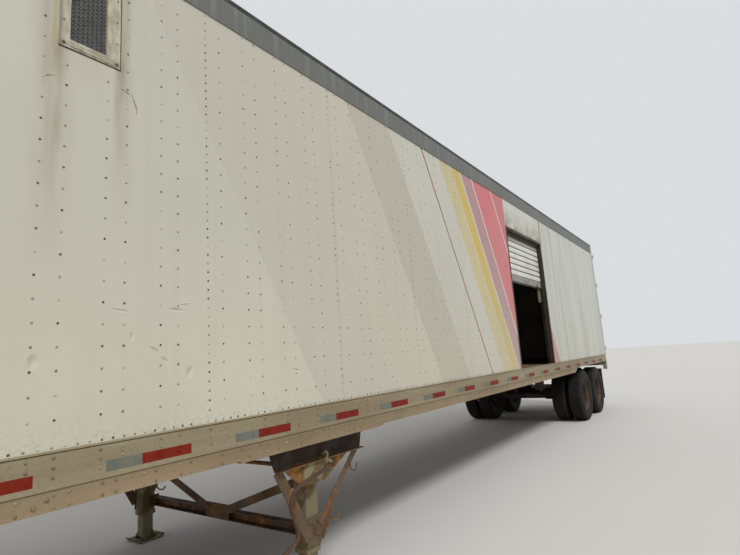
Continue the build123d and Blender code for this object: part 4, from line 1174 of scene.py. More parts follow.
class Fasteners(NodeModifier):
    """Puts a head on every point of a mesh, turned the way the point faces."""

    def __init__(self) -> None:
        """Builds the tree."""
        super().__init__("fasteners", {
            "Head": "NodeSocketObject", "Radius": "NodeSocketFloat",
            "Height": "NodeSocketFloat", "Finish": "NodeSocketMaterial"})
        given = self.given
        way = self.nodes.add(
            "GeometryNodeInputNamedAttribute", {"Name": "facing"}, data_type="FLOAT_VECTOR")
        turned = self.nodes.add("FunctionNodeAlignRotationToVector", {"Vector": way}, axis="Z")
        head = self.nodes.add("GeometryNodeObjectInfo", {"Object": given["Head"]})
        size = self.nodes.add("ShaderNodeCombineXYZ",
                              {"X": given["Radius"], "Y": given["Radius"], "Z": given["Height"]})
        self.close(self.nodes.add(
            "GeometryNodeInstanceOnPoints",
            {"Points": given["Geometry"], "Instance": head.outputs["Geometry"],
             "Rotation": turned, "Scale": size}))
        self.heads = {kind: kind.head() for kind in Fastener}

    def spread(self, name: str, spots: Sequence[Spot], kind: Fastener, size: Flat, finish: Finish,
               body: str = "root") -> None:
        """Adds one piece of many fasteners.

        Args:
            name: The piece's name.
            spots: Where each fastener is and the way that it faces.
            kind: The head's form.
            size: Radius of the head, and how far it stands out.
            finish: What the heads are made of.
            body: The body that they move with.
        """
        if not spots:
            return
        carrier = bpy.data.meshes.new(name)
        carrier.from_pydata([place for place, _ in spots], [], [])
        ways = carrier.attributes.new("facing", "FLOAT_VECTOR", "POINT")
        ways.data.foreach_set("vector", np.array([way for _, way in spots], np.float32).ravel())
        mesh = self.run(carrier, {
            "Head": self.heads[kind], "Radius": size[0], "Height": size[1], "Finish": finish.material()})
        mesh.name = name
        piece(name, mesh, finish, body)

    def clear(self) -> None:
        """Takes the loose heads away."""
        for head in self.heads.values():
            bpy.data.objects.remove(head)


class ExpandedMesh(NodeModifier):
    """Expanded metal: slit sheet drawn out into diamonds, as crossing strands with bonds on a grid."""

    def __init__(self) -> None:
        """Builds the tree, in the XY plane."""
        lengths = ("Width", "Height", "Strand", "Depth", "Length", "Lean", "Bond")
        super().__init__("expanded mesh", {
            **dict.fromkeys(lengths, "NodeSocketFloat"), "Across": "NodeSocketInt", "Up": "NodeSocketInt",
            "Next": "NodeSocketVector", "Finish": "NodeSocketMaterial"})
        nodes, given = self.nodes, self.given
        grid = nodes.add("GeometryNodeMeshGrid", {
            "Size X": given["Width"], "Size Y": given["Height"],
            "Vertices X": given["Across"], "Vertices Y": given["Up"]})
        strand, bond = (self.block(length) for length in ("Length", "Bond"))
        crossing = [self.moved(strand, "Rotation", nodes.add(
            "ShaderNodeCombineXYZ", {"Z": nodes.maths("MULTIPLY", given["Lean"], sign)})) for sign in (1, -1)]
        cell = nodes.add("GeometryNodeJoinGeometry")
        for part in (*crossing, bond, self.moved(bond, "Translation", given["Next"])):
            self.tree.links.new(part, cell.inputs["Geometry"])
        self.close(nodes.add("GeometryNodeInstanceOnPoints",
                             {"Points": grid.outputs["Mesh"], "Instance": cell}))

    def block(self, length: str) -> NodeSocket:
        """Block of a strand's section, as long as this input says."""
        size = self.nodes.add("ShaderNodeCombineXYZ", {
            "X": self.given[length], "Y": self.given["Strand"], "Z": self.given["Depth"]})
        return self.nodes.add("GeometryNodeMeshCube", {"Size": size}).outputs["Mesh"]

    def moved(self, geometry: object, how: str, by: object) -> NodeSocket:
        """Geometry after its Rotation or Translation by a vector."""
        return self.nodes.add("GeometryNodeTransform", {"Geometry": geometry, how: by}).outputs["Geometry"]


def facing(way: Point, places: Sequence[Point]) -> list[Spot]:
    """Pairs each place with the way that its fastener faces."""
    return [(place, way) for place in places]


# Body

# radius and height of the heavy rivets at the side door
HEAVY_RIVET: Flat = (0.009, 0.005)


class Wall(Enum):
    """The outer walls that carry skin sheets."""

    LEFT = -1
    RIGHT = 1
    FRONT = 0

    @property
    def label(self) -> str:
        """The wall's name in its pieces' names."""
        return self.name.lower()


@dataclass
class Skin:
    """Aluminium sheets over the posts, each lapped over the next, bulged a little, and riveted in columns."""

    thickness: float = 0.0012
    gap: float = 0.0002
    lap_rise: float = 0.0013
    lap_run: float = 0.09
    lap_edge: float = 0.015
    lap_posts: int = 4
    lap_phase: int = 3
    lap_clear: float = 0.2
    bulge: Flat = (0.0003, 0.0022)
    bay_steps: int = 8
    rows: int = 22
    corner_steps: int = 8
    front_steps: int = 48
    # the grid has no other line so near to an edge
    line_clear: float = 0.006
    vent_lip: float = 0.03
    rivet_pitch: float = 0.107
    rivet_start: float = 0.035
    rivet: Flat = (0.0068, 0.0030)
    top_clear: float = 0.02
    end_clear: float = 0.02
    # rows over the rail's lip and over the side door: first rivet, pitch and height
    lip_row: Point = (0.05, 0.0535, 0.012)
    head_row: Point = (0.07, 0.20, 0.03)
    corner: float = 0.110
    front_bays: int = 8
    front_start: float = 0.06
    front_pitch: float = 0.0612
    seed: int = 7

    @property
    def face_y(self) -> float:
        """How far the sheets' outer face lies from the trailer's middle, where they don't bulge."""
        return VAN.skin_y + self.gap + self.thickness

    @property
    def bend(self) -> float:
        """Length of sheet round one front corner."""
        return self.corner * math.pi / 2

    @property
    def flat(self) -> float:
        """Width of the flat part of the front wall."""
        return 2 * (VAN.skin_y - self.corner)

    def lap_edges(self) -> list[float]:
        """Where one sheet ends over the next, along the side."""
        return [VAN.post_x(post) - VAN.column_half + self.lap_edge for post in VAN.posts()
                if post % self.lap_posts == self.lap_phase
                and VAN.post_x(post) - self.lap_clear > VAN.side_front]

    def openings(self, wall: Wall) -> list[tuple[Flat, Flat]]:
        """Ranges along and up of what is cut out of a wall's skin."""
        if wall is not Wall.LEFT:
            return []
        vent = tuple((low + self.vent_lip, high - self.vent_lip) for low, high in (VAN.vent_x, VAN.vent_z))
        return [(VAN.door_x, (VAN.rail_top, VAN.door_head)), vent]

    def lines(self, wall: Wall) -> list[np.ndarray]:
        """Grid lines of a wall's skin, with one on each edge of an opening or lap."""
        if wall is Wall.FRONT:
            bends = np.linspace(0, self.bend, self.corner_steps + 1)
            flat = np.linspace(0, self.flat, self.front_steps + 1)[1:-1]
            along = np.concatenate([bends, self.bend + flat, self.bend + self.flat + bends])
        else:
            step = VAN.post_pitch / self.bay_steps
            first = VAN.post_x(VAN.posts()[0])
            count = int((VAN.side_rear - first) / step)
            along = np.concatenate([[VAN.side_front, VAN.side_rear], first + np.arange(-2, count) * step])
            for edge in self.lap_edges():
                along = along[np.abs(along - edge) > self.line_clear]
                along = np.append(along, [edge - 0.0001, edge + 0.0001, edge - self.lap_run])
        grid = [along, np.linspace(VAN.rail_top, VAN.top_rail, self.rows)]
        for spans in self.openings(wall):
            for way, span in enumerate(spans):
                for value in span:
                    grid[way] = grid[way][np.abs(grid[way] - value) > self.line_clear]
                grid[way] = np.append(grid[way], span)
        if wall is not Wall.FRONT:
            grid[0] = grid[0][(grid[0] >= VAN.side_front) & (grid[0] <= VAN.side_rear)]
        return [np.unique(np.round(lines, 5)) for lines in grid]

    def proud(self, wall: Wall, along: np.ndarray, up: np.ndarray) -> np.ndarray:
        """How far the sheet's outer face stands off the wall."""
        rng = np.random.default_rng(self.seed + wall.value)
        base = self.gap + self.thickness
        if wall is Wall.FRONT:
            return np.full((len(along), len(up)), base)
        rise = np.zeros(len(along))
        for edge in self.lap_edges():
            reach = (along - (edge - self.lap_run)) / self.lap_run
            rise = np.where((reach > 0) & (along < edge), self.lap_rise * np.clip(reach, 0, 1), rise)
        bays = len(VAN.posts()) + 2
        height = np.linspace(VAN.rail_top, VAN.top_rail, 7)
        swell = rng.uniform(*self.bulge, (bays, len(height)))
        swell[:, [0, -1]] *= 0.3
        bay = (along - VAN.post_x(VAN.posts()[0])) / VAN.post_pitch + 1
        shape = np.sin(np.pi * (bay % 1)) ** 2
        number = np.clip(np.floor(bay).astype(int), 0, bays - 1)
        lift = np.array([np.interp(up, height, swell[n]) for n in number])
        return base + rise[:, None] + shape[:, None] * lift

    def place(self, wall: Wall, along: float, off: float) -> Flat:
        """X and Y of a point of a wall."""
        if wall is not Wall.FRONT:
            return along, wall.value * (VAN.skin_y + off)
        inner = VAN.skin_y - self.corner
        centre_x = VAN.front_x + self.corner
        reach = self.corner + off
        if along < self.bend:
            angle = along / self.corner
            return centre_x - reach * math.sin(angle), -inner - reach * math.cos(angle)
        if along <= self.bend + self.flat:
            return VAN.front_x - off, along - self.bend - self.flat / 2
        angle = (along - self.bend - self.flat) / self.corner
        return centre_x - reach * math.cos(angle), inner + reach * math.sin(angle)

    def sheet(self, wall: Wall) -> Shape:
        """The skin of one wall as a closed thin shell."""
        along, up = self.lines(wall)
        proud = self.proud(wall, along, up)
        shape = Shape()
        outer, inner = ([[shape.bm.verts.new((*self.place(wall, a, off[i][j]), u)) for j, u in enumerate(up)]
                         for i, a in enumerate(along)] for off in (proud, np.full_like(proud, self.gap)))
        openings = self.openings(wall)

        def kept(i: int, j: int) -> bool:
            """Whether a cell of the grid is sheet."""
            if not (0 <= i < len(along) - 1 and 0 <= j < len(up) - 1):
                return False
            a, u = (along[i] + along[i + 1]) / 2, (up[j] + up[j + 1]) / 2
            return not any(x[0] < a < x[1] and z[0] < u < z[1] for x, z in openings)

        for i in range(len(along) - 1):
            for j in range(len(up) - 1):
                if not kept(i, j):
                    continue
                cell = ((i, j), (i + 1, j), (i + 1, j + 1), (i, j + 1))
                shape.bm.faces.new([outer[a][b] for a, b in cell])
                shape.bm.faces.new([inner[a][b] for a, b in cell[::-1]])
                beside = ((i, j - 1), (i + 1, j), (i, j + 1), (i - 1, j))
                for corner, next_cell in enumerate(beside):
                    if not kept(*next_cell):
                        (a, b), (c, d) = cell[corner], cell[(corner + 1) % 4]
                        shape.bm.faces.new((outer[a][b], inner[a][b], inner[c][d], outer[c][d]))
        loose = [vert for vert in shape.bm.verts if not vert.link_faces]
        bmesh.ops.delete(shape.bm, geom=loose, context="VERTS")
        return shape

    def clear_of_openings(self, wall: Wall, x: float, z: float) -> bool:
        """Whether a rivet there would be in sheet that lies on the wall."""
        clear = 0.012
        over_vent = all(low - clear < value < high + clear
                        for value, (low, high) in ((x, VAN.vent_x), (z, VAN.vent_z)))
        in_door = VAN.door_x[0] - clear < x < VAN.door_x[1] + clear and z < VAN.door_head + clear
        return not (wall is Wall.LEFT and (over_vent or in_door))

    def side_rivets(self, wall: Wall) -> list[Spot]:
        """Columns up the posts, closer where sheets lap, and the row above the rail's lip."""
        found = []
        top = VAN.top_rail - self.top_clear
        for post in VAN.posts():
            for side in (-1, 1):
                x = VAN.post_x(post) + side * VAN.column_half
                if not VAN.side_front + self.end_clear < x < VAN.side_rear - self.end_clear:
                    continue
                on_lap = post % self.lap_posts == self.lap_phase and side < 0
                pitch = self.rivet_pitch / 2 if on_lap else self.rivet_pitch
                y = wall.value * (self.face_y + (self.lap_rise if on_lap else 0.0))
                count = int((top - VAN.rail_top - self.rivet_start) / pitch) + 1
                found += [(x, y, top - index * pitch) for index in range(count)]
        start, pitch, rise = self.lip_row
        count = int((VAN.side_rear - VAN.side_front - 2 * start) / pitch)
        found += [(VAN.side_front + start + index * pitch, wall.value * self.face_y,
                   VAN.rail_top + rise) for index in range(count)]
        return facing((0, wall.value, 0), [
            place for place in found if self.clear_of_openings(wall, place[0], place[2])])

    def head_rivets(self) -> list[Spot]:
        """Row along the lower edge of the panel over the side door."""
        start, pitch, rise = self.head_row
        count = int((VAN.door_x[1] - VAN.door_x[0]) / pitch)
        return facing((0, -1, 0), [
            (VAN.door_x[0] + start + index * pitch, -self.face_y,
             VAN.door_head + rise) for index in range(count)])

    def front_rivets(self) -> list[Spot]:
        """Columns up the front wall's posts and corners, and a row along its foot and its top."""
        x = VAN.front_x - self.gap - self.thickness
        reach = VAN.skin_y - self.corner
        top = VAN.top_rail - self.top_clear
        middle = self.front_bays // 2
        columns = [number * reach / middle for number in range(1 - middle, middle)]
        columns += [-reach + self.front_start / 2, reach - self.front_start / 2]
        count = int((top - VAN.rail_top - self.top_clear) / self.rivet_pitch) + 1
        found = [(x, y, top - index * self.rivet_pitch) for y in columns for index in range(count)]
        for row in (VAN.rail_top + 0.015, top):
            found += [(x, -reach + self.front_start + index * self.front_pitch, row)
                      for index in range(38)]
        return facing((-1, 0, 0), found)

    def build(self, fasteners: Fasteners) -> None:
        """Adds the sheets and their rivets, and finishes the walls behind them."""
        for wall in Wall:
            self.sheet(wall).finished(f"{wall.label}_skin", SKIN, crease=20.0)
        for wall in (Wall.LEFT, Wall.RIGHT):
            fasteners.spread(f"{wall.label}_skin_rivets", self.side_rivets(wall), Fastener.RIVET, self.rivet,
                             RIVETS)
        fasteners.spread("front_skin_rivets", self.front_rivets(), Fastener.RIVET, self.rivet, RIVETS)
        fasteners.spread("side_door_head_rivets", self.head_rivets(), Fastener.RIVET, HEAVY_RIVET,
                         HEAD_RIVETS)
        carried(LINING, "left_wall_front", "left_wall_over_door", "left_wall_rear", "right_wall",
                "front_wall", "front_corner_posts")
        carried(DECK, "floor")
        carried(ROOF, "roof_panel", "roof_bows")


@dataclass
class Rails:
    """Bottom and top rails, with their rivets and bolts and the reflective strips."""

    rivet: Flat = (0.0080, 0.0050)
    bolt: Flat = (0.012, 0.006)
    column_z: tuple[float, ...] = (1.233, 1.192, 1.151)
    end_clear: float = 0.02
    # first cluster, pitch and clusters of each run of crossmembers
    cluster_runs: tuple[tuple[float, float, int], ...] = (
        (-5.591, 0.2045, 6), (-4.364, 0.150, 9), (-2.9218, 0.3048, 23))
    cluster: Flat = (0.062, 0.051)
    cluster_z: float = 1.054
    # along and height of the single bolts
    bolts: tuple[Flat, ...] = ((-5.494, 1.042), (-5.446, 1.064), (-3.10, 1.055), (-4.02, 1.055))
    strip_start: float = -5.023
    strip_pitch: float = 0.7597
    strip_white: float = 0.178
    strip_red: float = 0.279
    strip_z: Flat = (1.127, 1.178)
    strip_thick: float = 0.0005
    strip_clear: Flat = (0.25, 0.30)
    lower_inset: float = 0.006

    def strips(self) -> list[tuple[Finish, Flat]]:
        """Finish and range along the rail of each reflective strip."""
        found = []
        first = math.ceil((VAN.side_front + self.strip_clear[0] - self.strip_start) / self.strip_pitch)
        last = math.floor((VAN.side_rear - self.strip_clear[1] - self.strip_start) / self.strip_pitch)
        for number in range(first, last + 1):
            edge = self.strip_start + number * self.strip_pitch
            found += [(TAPE_WHITE, (edge - self.strip_white, edge)),
                      (TAPE_RED, (edge, edge + self.strip_red))]
        return found

    def build_strips(self, side: int, label: str) -> None:
        """Adds the strips of one side."""
        shapes = {TAPE_WHITE: Shape(), TAPE_RED: Shape()}
        near, far = sorted((side * VAN.rail_y, side * (VAN.rail_y + self.strip_thick)))
        for finish, span in self.strips():
            shapes[finish].slab((span[0], near, self.strip_z[0]), (span[1], far, self.strip_z[1]))
        for finish, tint in ((TAPE_WHITE, "white"), (TAPE_RED, "red")):
            shapes[finish].finished(f"{label}_{tint}_strips", finish)

    def rivets(self, side: int) -> dict[str, list[Point]]:
        """Rivets of one side, those under a strip apart from the bare ones."""
        found: dict[str, list[Point]] = {"bare": [], "white": [], "red": []}
        strips = self.strips()
        for post in VAN.posts():
            for edge in (-1, 1):
                x = VAN.post_x(post) + edge * VAN.column_half
                if not VAN.side_front + self.end_clear < x < VAN.side_rear - self.end_clear:
                    continue
                for z in self.column_z:
                    under = [finish for finish, span in strips
                             if span[0] < x < span[1] and self.strip_z[0] < z < self.strip_z[1]]
                    kind = "bare" if not under else ("red" if under[0] is TAPE_RED else "white")
                    found[kind].append((x, side * VAN.rail_y, z))
        middles = [start + index * pitch
                   for start, pitch, count in self.cluster_runs for index in range(count)]
        found["bare"] += [
            (middle + dx * self.cluster[0], side * (VAN.rail_y - self.lower_inset),
             self.cluster_z + dz * self.cluster[1])
            for middle in middles for dx in (-0.5, 0.5) for dz in (-0.5, 0.5)]
        return found

    def build(self, fasteners: Fasteners) -> None:
        """Adds strips, rivets and bolts on both sides, and finishes the rails."""
        dressed("bottom_rails", RAIL, 0.0012)
        dressed("top_rails", TOP_RAIL)
        finishes = {"bare": RAIL_RIVETS, "white": TAPE_WHITE, "red": TAPE_RED}
        for side, label in SIDES:
            way = (0, side, 0)
            self.build_strips(side, label)
            for kind, places in self.rivets(side).items():
                fasteners.spread(f"{label}_rail_rivets_{kind}", facing(way, places), Fastener.RIVET,
                                 self.rivet, finishes[kind])
            bolts = [(x, side * (VAN.rail_y - self.lower_inset), z) for x, z in self.bolts]
            fasteners.spread(f"{label}_rail_bolts", facing(way, bolts), Fastener.RIVET, self.bolt,
                             RAIL_RIVETS)


@dataclass
class Vent:
    """Riveted vent frame with a mesh of expanded metal and a thin screen behind it."""

    pitch: Flat = (0.0508, 0.0234)
    strand: float = 0.0040
    # length of a bond, as a share of the pitch
    bond: float = 0.30
    depth: float = 0.0030
    screw: Flat = (0.0055, 0.0025)
    screw_edge: float = 0.018
    rim: float = 0.0034
    sealant: float = 0.0042

    def build_mesh(self) -> None:
        """Draws the mesh in place of its plain sheet, with the screen at its back."""
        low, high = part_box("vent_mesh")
        width, height = high.x - low.x, high.z - low.z
        across, up = round(width / self.pitch[0]), round(height / self.pitch[1])
        pitch = (width / across, height / up)
        name = "vent_mesh_drawn"
        mesh = ExpandedMesh().run(bpy.data.meshes.new(name), {
            "Width": width - pitch[0], "Height": height - pitch[1], "Across": across, "Up": up,
            "Strand": self.strand, "Depth": self.depth, "Length": math.hypot(*pitch),
            "Lean": math.atan2(pitch[1], pitch[0]), "Bond": self.bond * pitch[0],
            "Next": (pitch[0] / 2, pitch[1] / 2, 0.0), "Finish": MESH_STEEL.material()})
        middle = (low + high) / 2
        for vertex in mesh.vertices:
            x, z, y = vertex.co
            vertex.co = (middle.x + x, middle.y - y, middle.z + z)
        mesh.flip_normals()
        piece(name, mesh, MESH_STEEL, stands_for=("vent_mesh",))
        Shape().slab((low.x, high.y - 0.0004, low.z), high).finished("vent_insect_screen", SCREEN)

    def build_rim(self, y: float) -> None:
        """Adds the frame's rolled edge and the bead of sealant round it."""
        (x0, x1), (z0, z1) = VAN.vent_x, VAN.vent_z
        inset, cut, off = 0.012, 0.006, 0.002
        rolled = [(x1 - inset, y, z1 - 0.01), (x1 - inset, y, z0 + inset + cut),
                  (x1 - inset - cut, y, z0 + inset), (x0 + inset, y, z0 + inset + 0.004)]
        Shape().bar(rolled, self.rim, 8).finished("vent_rolled_edge", VENT_METAL)
        wall = -VAN.skin_y - 0.0015
        bead = [(x1 + off, wall, z1), (x1 + off, wall, z0 - off), (x0, wall, z0 - off)]
        Shape().bar(bead, self.sealant, 8).finished("vent_sealant", SEALANT)

    def build(self, fasteners: Fasteners) -> None:
        """Replaces the plain mesh sheet, and screws the frame on."""
        self.build_mesh()
        dressed("vent_frame", VENT_METAL, 0.0015)
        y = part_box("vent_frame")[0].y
        edge = self.screw_edge
        rows = np.linspace(VAN.vent_z[0] + edge, VAN.vent_z[1] - edge, 5)
        screws = [(x, y, float(z)) for x in (VAN.vent_x[0] + edge, VAN.vent_x[1] - edge) for z in rows]
        fasteners.spread("vent_screws", facing((0, -1, 0), screws), Fastener.SCREW, self.screw, HEAD_RIVETS)
        self.build_rim(y)


@dataclass
class SideDoor:
    """Roll-up door: jambs, curtain, the dark seal under the head, and the pull strap."""

    seal_drop: float = 0.055
    strap_x: float = 2.31
    strap_width: float = 0.050
    strap_length: float = 0.33
    strap_thick: float = 0.0025
    strap_twist: Flat = (0.0, 78.0)
    strap_hold: float = 0.055
    # along the door and away from it
    strap_sway: Flat = (0.012, 0.010)
    strap_steps: int = 16
    cover: Flat = (0.006, 0.052)
    cover_thick: float = 0.0025
    handle_half: float = 0.08
    handle_out: float = 0.04
    bar_screw: Flat = (0.005, 0.003)
    screw_start: float = 0.08
    screw_pitch: float = 0.21

    def build_seal(self) -> None:
        """Rubber seal that hangs from the head in front of the curtain."""
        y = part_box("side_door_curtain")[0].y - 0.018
        top, foot = VAN.under_beam, VAN.under_beam - self.seal_drop
        outline = [(y, top), (y + 0.006, top), (y + 0.008, foot), (y + 0.004, foot)]
        span = (VAN.door_x[0] + VAN.jamb_width, VAN.door_x[1] - VAN.jamb_width)
        Shape().prism(outline, "x", span).finished("side_door_seal", RUBBER)

    def build_strap(self) -> None:
        """Webbing strap riveted to the curtain's bottom bar, which hangs down and twists edge-on."""
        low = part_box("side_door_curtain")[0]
        half, thick = self.strap_width / 2, self.strap_thick / 2
        start, end = self.strap_twist
        shape = Shape()
        rings = []
        for index in range(self.strap_steps + 1):
            share = index / self.strap_steps
            turn = math.radians(start + (end - start) * min(1.0, share * 2.2))
            wide = Vector((math.cos(turn), math.sin(turn), 0))
            deep = Vector((-math.sin(turn), math.cos(turn), 0))
            middle = Vector(
                (self.strap_x + self.strap_sway[0] * math.sin(share * 2.6),
                 low.y - 0.004 - self.strap_sway[1] * share,
                 low.z + self.strap_hold - share * self.strap_length))
            rings.append([shape.bm.verts.new(middle + wide * w + deep * d)
                          for w, d in ((-half, -thick), (half, -thick), (half, thick), (-half, thick))])
        strap = shape.tube(rings).finished("side_door_strap", STRAP)

    def build_cover(self, fasteners: Fasteners) -> None:
        """Cover strip riveted over the joint between the panel over the door and the wall behind it."""
        face = -VAN.skin_y - 0.0035
        front = face - self.cover_thick
        x0, x1 = (VAN.door_x[1] + edge for edge in self.cover)
        strip = Shape().slab((x0, front, VAN.door_head - 0.02), (x1, face, VAN.top_rail - 0.004), 0.0008)
        strip.finished("side_door_cover_strip", JAMB_EDGE)
        rows = np.linspace(VAN.door_head + 0.02, VAN.top_rail - 0.03, 5)
        rivets = [((x0 + x1) / 2, front, float(z)) for z in rows]
        fasteners.spread("side_door_cover_rivets", facing((0, -1, 0), rivets), Fastener.RIVET, HEAVY_RIVET,
                         HEAD_RIVETS)

    def build_bar(self, fasteners: Fasteners) -> None:
        """Bottom bar's rubber lip, its lift handle and its screws."""
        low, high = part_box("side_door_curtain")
        lip = Shape().slab((low.x + 0.03, low.y + 0.003, low.z - 0.03),
                           (high.x - 0.03, low.y + 0.017, low.z), 0.003)
        lip.finished("side_door_lip", RUBBER)
        middle = (low.x + high.x) / 2
        y, z = low.y, low.z + 0.045
        half, out = self.handle_half, self.handle_out
        right = [(half - 0.02, out), (half, out - 0.01), (half, 0.0)]
        bends = [(-reach, away) for reach, away in right[::-1]] + right
        handle = Shape().bar([(middle + reach, y - away, z) for reach, away in bends], 0.006)
        for x in (middle - half, middle + half):
            handle.slab((x - 0.016, y - 0.004, z - 0.025), (x + 0.016, y, z + 0.025), 0.001)
        handle.finished("side_door_handle", GALVANISED)
        screws = [(low.x + self.screw_start + index * self.screw_pitch, y, low.z + height)
                  for index in range(9) for height in (0.02, 0.08)]
        fasteners.spread("side_door_bar_screws", facing((0, -1, 0), screws), Fastener.SCREW, self.bar_screw,
                         GALVANISED)

    def build(self, fasteners: Fasteners) -> None:
        """Finishes the door's nodes and adds its fittings."""
        front_jamb = VAN.door_x[0] + VAN.jamb_width
        face = 0.004 - VAN.skin_y
        dressed("side_door_frame", JAMB, 0.002, second=JAMB_EDGE,
                where=lambda middle: middle.x < front_jamb and middle.y < face and middle.z > VAN.rail_top)
        dressed("side_door_guides", JAMB)
        dressed("side_door_curtain", CURTAIN, 0.0, 25.0)
        dressed("side_door_coil", CURTAIN)
        self.build_seal()
        self.build_strap()
        self.build_cover(fasteners)
        self.build_bar(fasteners)


@dataclass
class RearEnd:
    """Galvanised frame, swing doors with seals, hinges and lock rods, guard, bumpers and lamps."""

    seal_width: float = 0.03
    seal_thick: float = 0.004
    # middles of a keeper's two lugs, from the rod outwards
    keeper_lugs: Flat = (0.026, -0.056)
    keeper_half: float = 0.006
    # half height of a lug, and how far it stands out
    keeper_size: Flat = (0.022, 0.034)
    keeper_z: Flat = (1.17, 4.03)
    rod_offsets: Flat = (0.330, 0.900)
    hinge_z: tuple[float, ...] = (1.420, 2.230, 3.040, 3.790)
    # distances of a strap's bolts from the door's outer edge
    hinge_reach: tuple[float, ...] = (0.06, 0.115, 0.17, 0.215)
    hinge_thick: float = 0.007
    hinge_bolt: Flat = (0.009, 0.007)
    post_depth: float = 0.111

    def build_seals(self, door: str) -> None:
        """Rubber seal round the edge of one door."""
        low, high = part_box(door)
        x, width = high.x, self.seal_width
        shape = Shape()
        for z in (low.z, high.z - width):
            shape.slab((x, low.y, z), (x + self.seal_thick, high.y, z + width), 0.001)
        for y in (low.y, high.y - width):
            shape.slab((x, y, low.z + width), (x + self.seal_thick, y + width, high.z - width), 0.001)
        shape.finished(f"{door}_seal", RUBBER, door)

    def build_keepers(self, side: int, label: str) -> None:
        """Pairs of lugs on header and sill that take the cams of the lock rods."""
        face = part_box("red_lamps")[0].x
        half = self.keeper_half
        tall, out = self.keeper_size
        shape = Shape()
        for offset in self.rod_offsets:
            for lug in self.keeper_lugs:
                y = side * (offset + lug)
                for z in self.keeper_z:
                    shape.slab((face, y - half, z - tall), (face + out, y + half, z + tall), 0.002)
        shape.finished(f"{label}_lock_keepers", GALVANISED)

    def build_hinge_bolts(self, side: int, door: str, fasteners: Fasteners) -> None:
        """Bolts of the hinge straps on one door."""
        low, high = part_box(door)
        outer = high.y if side > 0 else low.y
        bolts = [(high.x + self.hinge_thick, outer - side * reach, z)
                 for z in self.hinge_z for reach in self.hinge_reach]
        fasteners.spread(f"{door}_hinge_bolts", facing((1, 0, 0), bolts), Fastener.HEX, self.hinge_bolt,
                         GALVANISED, door)

    def build(self, fasteners: Fasteners) -> None:
        """Finishes the rear nodes and adds seals, keepers and bolts."""
        painted_to = VAN.side_rear + self.post_depth
        dressed("rear_frame", GALVANISED, 0.002, second=DOOR_PAINT,
                where=lambda middle: abs(middle.y) > VAN.rail_y - 0.001 and middle.x < painted_to)
        dressed("rear_guard", GALVANISED, 0.003)
        dressed("dock_bumpers", RUBBER, 0.008)
        dressed("red_lamps", RED, 0.002)
        dressed("amber_lamps", AMBER, 0.002)
        for side, label in SIDES:
            door = f"rear_door_{label}"
            dressed(door, DOOR_PAINT, 0.0015)
            dressed(f"{door}_locks", GALVANISED, 0.0015)
            self.build_seals(door)
            self.build_keepers(side, label)
            self.build_hinge_bolts(side, door, fasteners)


@dataclass
class LandingGear:
    """Rusted legs, side plates, struts, braces, gear case and crank."""

    plate_y: float = 1.141
    # along and height of the bolts of each side plate and gusset
    bolt_places: tuple[Flat, ...] = (
        (-4.02, 1.085), (-3.94, 1.085), (-3.86, 1.085), (-3.08, 1.085), (-3.16, 1.085), (-3.24, 1.085),
        (-3.685, 0.44), (-3.60, 0.44), (-3.685, 0.34), (-3.60, 0.34))
    bolt: Flat = (0.011, 0.012)
    # the case reaches out to here, and what lies further out is the crank
    case_y: float = -1.186

    def build(self, fasteners: Fasteners) -> None:
        """Dresses the gear in rust and bolts it together."""
        dressed("landing_legs", LEG, 0.0015)
        dressed("landing_mounts", MOUNT, 0.0015)
        dressed("landing_braces", GEAR, 0.0015)
        dressed("landing_crank", CRANK, 0.001, second=CASE, where=lambda middle: middle.y > self.case_y)
        spots = [((x, side * self.plate_y, z), (0, side, 0))
                 for side, _ in SIDES for x, z in self.bolt_places]
        fasteners.spread("landing_gear_bolts", spots, Fastener.HEX, self.bolt, GEAR)


@dataclass
class RunningGear:
    """Frame rails, axles, springs, brake chambers, reservoir and flaps."""

    bolt_radius: float = 0.008
    bolt_reach: Flat = (0.072, 0.047)
    bolt_z: Flat = (0.428, 0.668)
    plate_z: tuple[Flat, Flat] = ((0.436, 0.4465), (0.642, 0.654))
    plate_half: Flat = (0.088, 0.060)
    spring_y: float = 0.510

    def build_u_bolts(self) -> None:
        """U-bolts that clamp each spring to its axle, with the plates over and under them."""
        shape = Shape()
        long, wide = self.plate_half
        for place in ("front", "rear"):
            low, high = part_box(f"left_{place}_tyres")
            x = (low.x + high.x) / 2
            for y in (-self.spring_y, self.spring_y):
                for bottom, top in self.plate_z:
                    shape.slab((x - long, y - wide, bottom), (x + long, y + wide, top), 0.002)
                for dx in (-self.bolt_reach[0], self.bolt_reach[0]):
                    for dy in (-self.bolt_reach[1], self.bolt_reach[1]):
                        shape.bar([(x + dx, y + dy, z) for z in self.bolt_z], self.bolt_radius)
        shape.finished("u_bolts", CASTING)

    def build(self) -> None:
        """Finishes what hangs under the floor and clamps the springs."""
        self.build_u_bolts()
        for node in ("suspension_frame", "air_tank", "brake_chambers"):
            dressed(node, CHASSIS, 0.0015)
        for node in ("axles", "leaf_springs"):
            dressed(node, CASTING, 0.001)
        carried(CHASSIS, "crossmembers")
        dressed("coupler_plate", CHASSIS, 0.001)
        dressed("kingpin", KINGPIN)
        dressed("mud_flaps", RUBBER, 0.001)


